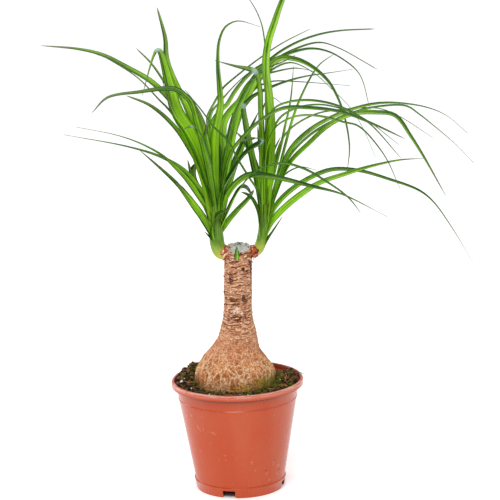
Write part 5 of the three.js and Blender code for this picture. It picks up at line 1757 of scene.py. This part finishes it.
def make_floor():
    """The white floor under the pot."""
    bpy.ops.mesh.primitive_plane_add(size=settings("palm_stage").floor_span, location=(0, 0, 0))
    floor = bpy.context.object
    floor.name = "floor"
    floor.data.materials.append(floor_material())


def make_camera():
    """The camera in front, which looks down a little and leans a little."""
    stage = settings("palm_stage")
    ahead = Vector((0, math.cos(stage.camera_pitch), -math.sin(stage.camera_pitch)))
    level_right = Vector((1, 0, 0))
    level_up = level_right.cross(ahead)
    lean = stage.camera_roll
    right = level_right * math.cos(lean) - level_up * math.sin(lean)
    up = level_right * math.sin(lean) + level_up * math.cos(lean)
    turn = Matrix((right, up, -ahead)).transposed()
    bpy.ops.object.camera_add(location=stage.camera_place, rotation=turn.to_euler())
    camera = bpy.context.object
    camera.name = "camera"
    camera.data.lens = stage.lens
    bpy.context.scene.camera = camera


def make_light(name, place, size, power):
    """A soft rectangular light that faces the middle of the plant."""
    turn = (Vector(place) - PLANT_MIDDLE).to_track_quat("Z", "Y")
    bpy.ops.object.light_add(type="AREA", location=place, rotation=turn.to_euler())
    light = bpy.context.object
    light.name = name
    light.data.shape = "RECTANGLE"
    light.data.size, light.data.size_y = size
    light.data.energy = power


def make_sun(place, width):
    """A broad sun that shines from a place towards the plant; its width is an angle in degrees."""
    turn = Vector(place).to_track_quat("Z", "Y")
    bpy.ops.object.light_add(type="SUN", location=place, rotation=turn.to_euler())
    light = bpy.context.object
    light.name = "sun"
    light.data.angle = math.radians(width)
    light.data.energy = settings("palm_stage").sun


def make_world():
    """Even white surroundings."""
    world = bpy.data.worlds.new("white_room")
    bpy.context.scene.world = world
    world.use_nodes = True
    background = world.node_tree.nodes["Background"]
    background.inputs["Color"].default_value = (1, 1, 1, 1)
    background.inputs["Strength"].default_value = settings("palm_stage").sky


# Operators

class PALM_OT_stage(Operator):
    """Sets up the floor, lights, surroundings and camera"""
    bl_idname = "palm.stage"
    bl_label = "Stage"

    def execute(self, context):
        stage = settings("palm_stage")
        context.scene.view_settings.view_transform = "Standard"
        make_camera()
        make_floor()
        make_world()
        make_sun((-0.15, -1.0, 1.15), 30)
        make_light("left_strip", (-1.2, 0.6, 0.5), (0.4, 1.2), stage.strips)
        make_light("right_strip", (1.2, 0.6, 0.5), (0.4, 1.2), stage.strips * stage.right_strip)
        make_light("top", (0, 0.5, 1.4), (1.2, 0.8), stage.top)
        return {"FINISHED"}


class PALM_OT_pot(Operator):
    """Makes the nursery pot"""
    bl_idname = "palm.pot"
    bl_label = "Pot"

    def execute(self, context):
        finish_piece(make_pot(), "pot_plastic", [plastic_material()], "pot")
        return {"FINISHED"}


class PALM_OT_soil(Operator):
    """Makes the soil with its crumbs, moss, white grains and bits of root"""
    bl_idname = "palm.soil"
    bl_label = "Soil"

    def execute(self, context):
        peat = peat_material()
        finish_piece(make_soil(), "soil", [peat], "soil")
        finish_piece(make_crumbs(), "soil", [crumb_material()])
        finish_piece(make_moss(), "soil", [moss_material()])
        finish_piece(make_grains(), "soil", [grain_material()])
        finish_piece(make_roots(), "soil", [root_material()])
        return {"FINISHED"}


class PALM_OT_trunk(Operator):
    """Makes the bulb, stem, cut face, collars and loose bark"""
    bl_idname = "palm.trunk"
    bl_label = "Trunk"

    def execute(self, context):
        trunk = settings("palm_trunk")
        skin = collar_material("collar_skin", tuple(trunk.collar), tuple(trunk.groove),
                               tuple(trunk.collar_pale))
        paper = collar_material("flake_skin", tuple(trunk.ridge), tuple(trunk.collar_pale),
                                tuple(trunk.groove))
        stub = collar_material("stub_skin", tuple(trunk.crack), tuple(trunk.groove), tuple(trunk.crack))
        finish_piece(make_bark(), "bark", [bark_material()], "trunk")
        finish_piece(make_cut_face(), "bark", [cut_material()])
        finish_piece(make_collars(), "bark", [skin])
        finish_piece(make_flakes(), "bark", [paper])
        finish_piece(make_stubs(), "bark", [stub])
        return {"FINISHED"}


class PALM_OT_heads(Operator):
    """Makes both shoots with their leaves"""
    bl_idname = "palm.heads"
    bl_label = "Heads"

    def execute(self, context):
        upper = leaf_material("leaf_upper", underside=False)
        lower = leaf_material("leaf_lower", underside=True)
        finish_piece(make_head("left_leaves", LEFT_LEAVES, 1), "leaf", [upper, lower], "left_head")
        finish_piece(make_head("right_leaves", RIGHT_LEAVES, 2), "leaf", [upper, lower], "right_head")
        sheath = sheath_material()
        finish_piece(make_shoot("left_shoot", LEFT_SHOOT, 0.2), "leaf", [sheath])
        finish_piece(make_shoot("right_shoot", RIGHT_SHOOT, 0.7), "leaf", [sheath])
        return {"FINISHED"}


class PALM_OT_bud(Operator):
    """Makes the green bud in front of the cut"""
    bl_idname = "palm.bud"
    bl_label = "Bud"

    def execute(self, context):
        finish_piece(make_bud(), "bud", [leaf_material("bud_leaf", underside=False)], "side_bud")
        return {"FINISHED"}


STEPS = (PALM_OT_stage, PALM_OT_pot, PALM_OT_soil, PALM_OT_trunk, PALM_OT_heads, PALM_OT_bud)


class PALM_PT_panel(Panel):
    """Lists the steps that dress the palm"""
    bl_idname = "PALM_PT_panel"
    bl_label = "Ponytail palm"
    bl_space_type = "VIEW_3D"
    bl_region_type = "UI"
    bl_category = "Palm"

    def draw(self, context):
        for step in STEPS:
            self.layout.operator(step.bl_idname)


SETTINGS = {
    "palm_pot": PotSettings,
    "palm_soil": SoilSettings,
    "palm_trunk": TrunkSettings,
    "palm_leaves": LeafSettings,
    "palm_stage": StageSettings,
}


def register():
    for name, group in SETTINGS.items():
        bpy.utils.register_class(group)
        setattr(bpy.types.Scene, name, PointerProperty(type=group))
    for step in (*STEPS, PALM_PT_panel):
        bpy.utils.register_class(step)


def unregister():
    for step in (PALM_PT_panel, *reversed(STEPS)):
        bpy.utils.unregister_class(step)
    for name, group in SETTINGS.items():
        delattr(bpy.types.Scene, name)
        bpy.utils.unregister_class(group)


def main():
    register()
    bpy.ops.object.select_all(action="DESELECT")
    bpy.ops.palm.stage()
    bpy.ops.palm.pot()
    bpy.ops.palm.soil()
    bpy.ops.palm.trunk()
    bpy.ops.palm.heads()
    bpy.ops.palm.bud()


if __name__ == "__main__":
    main()
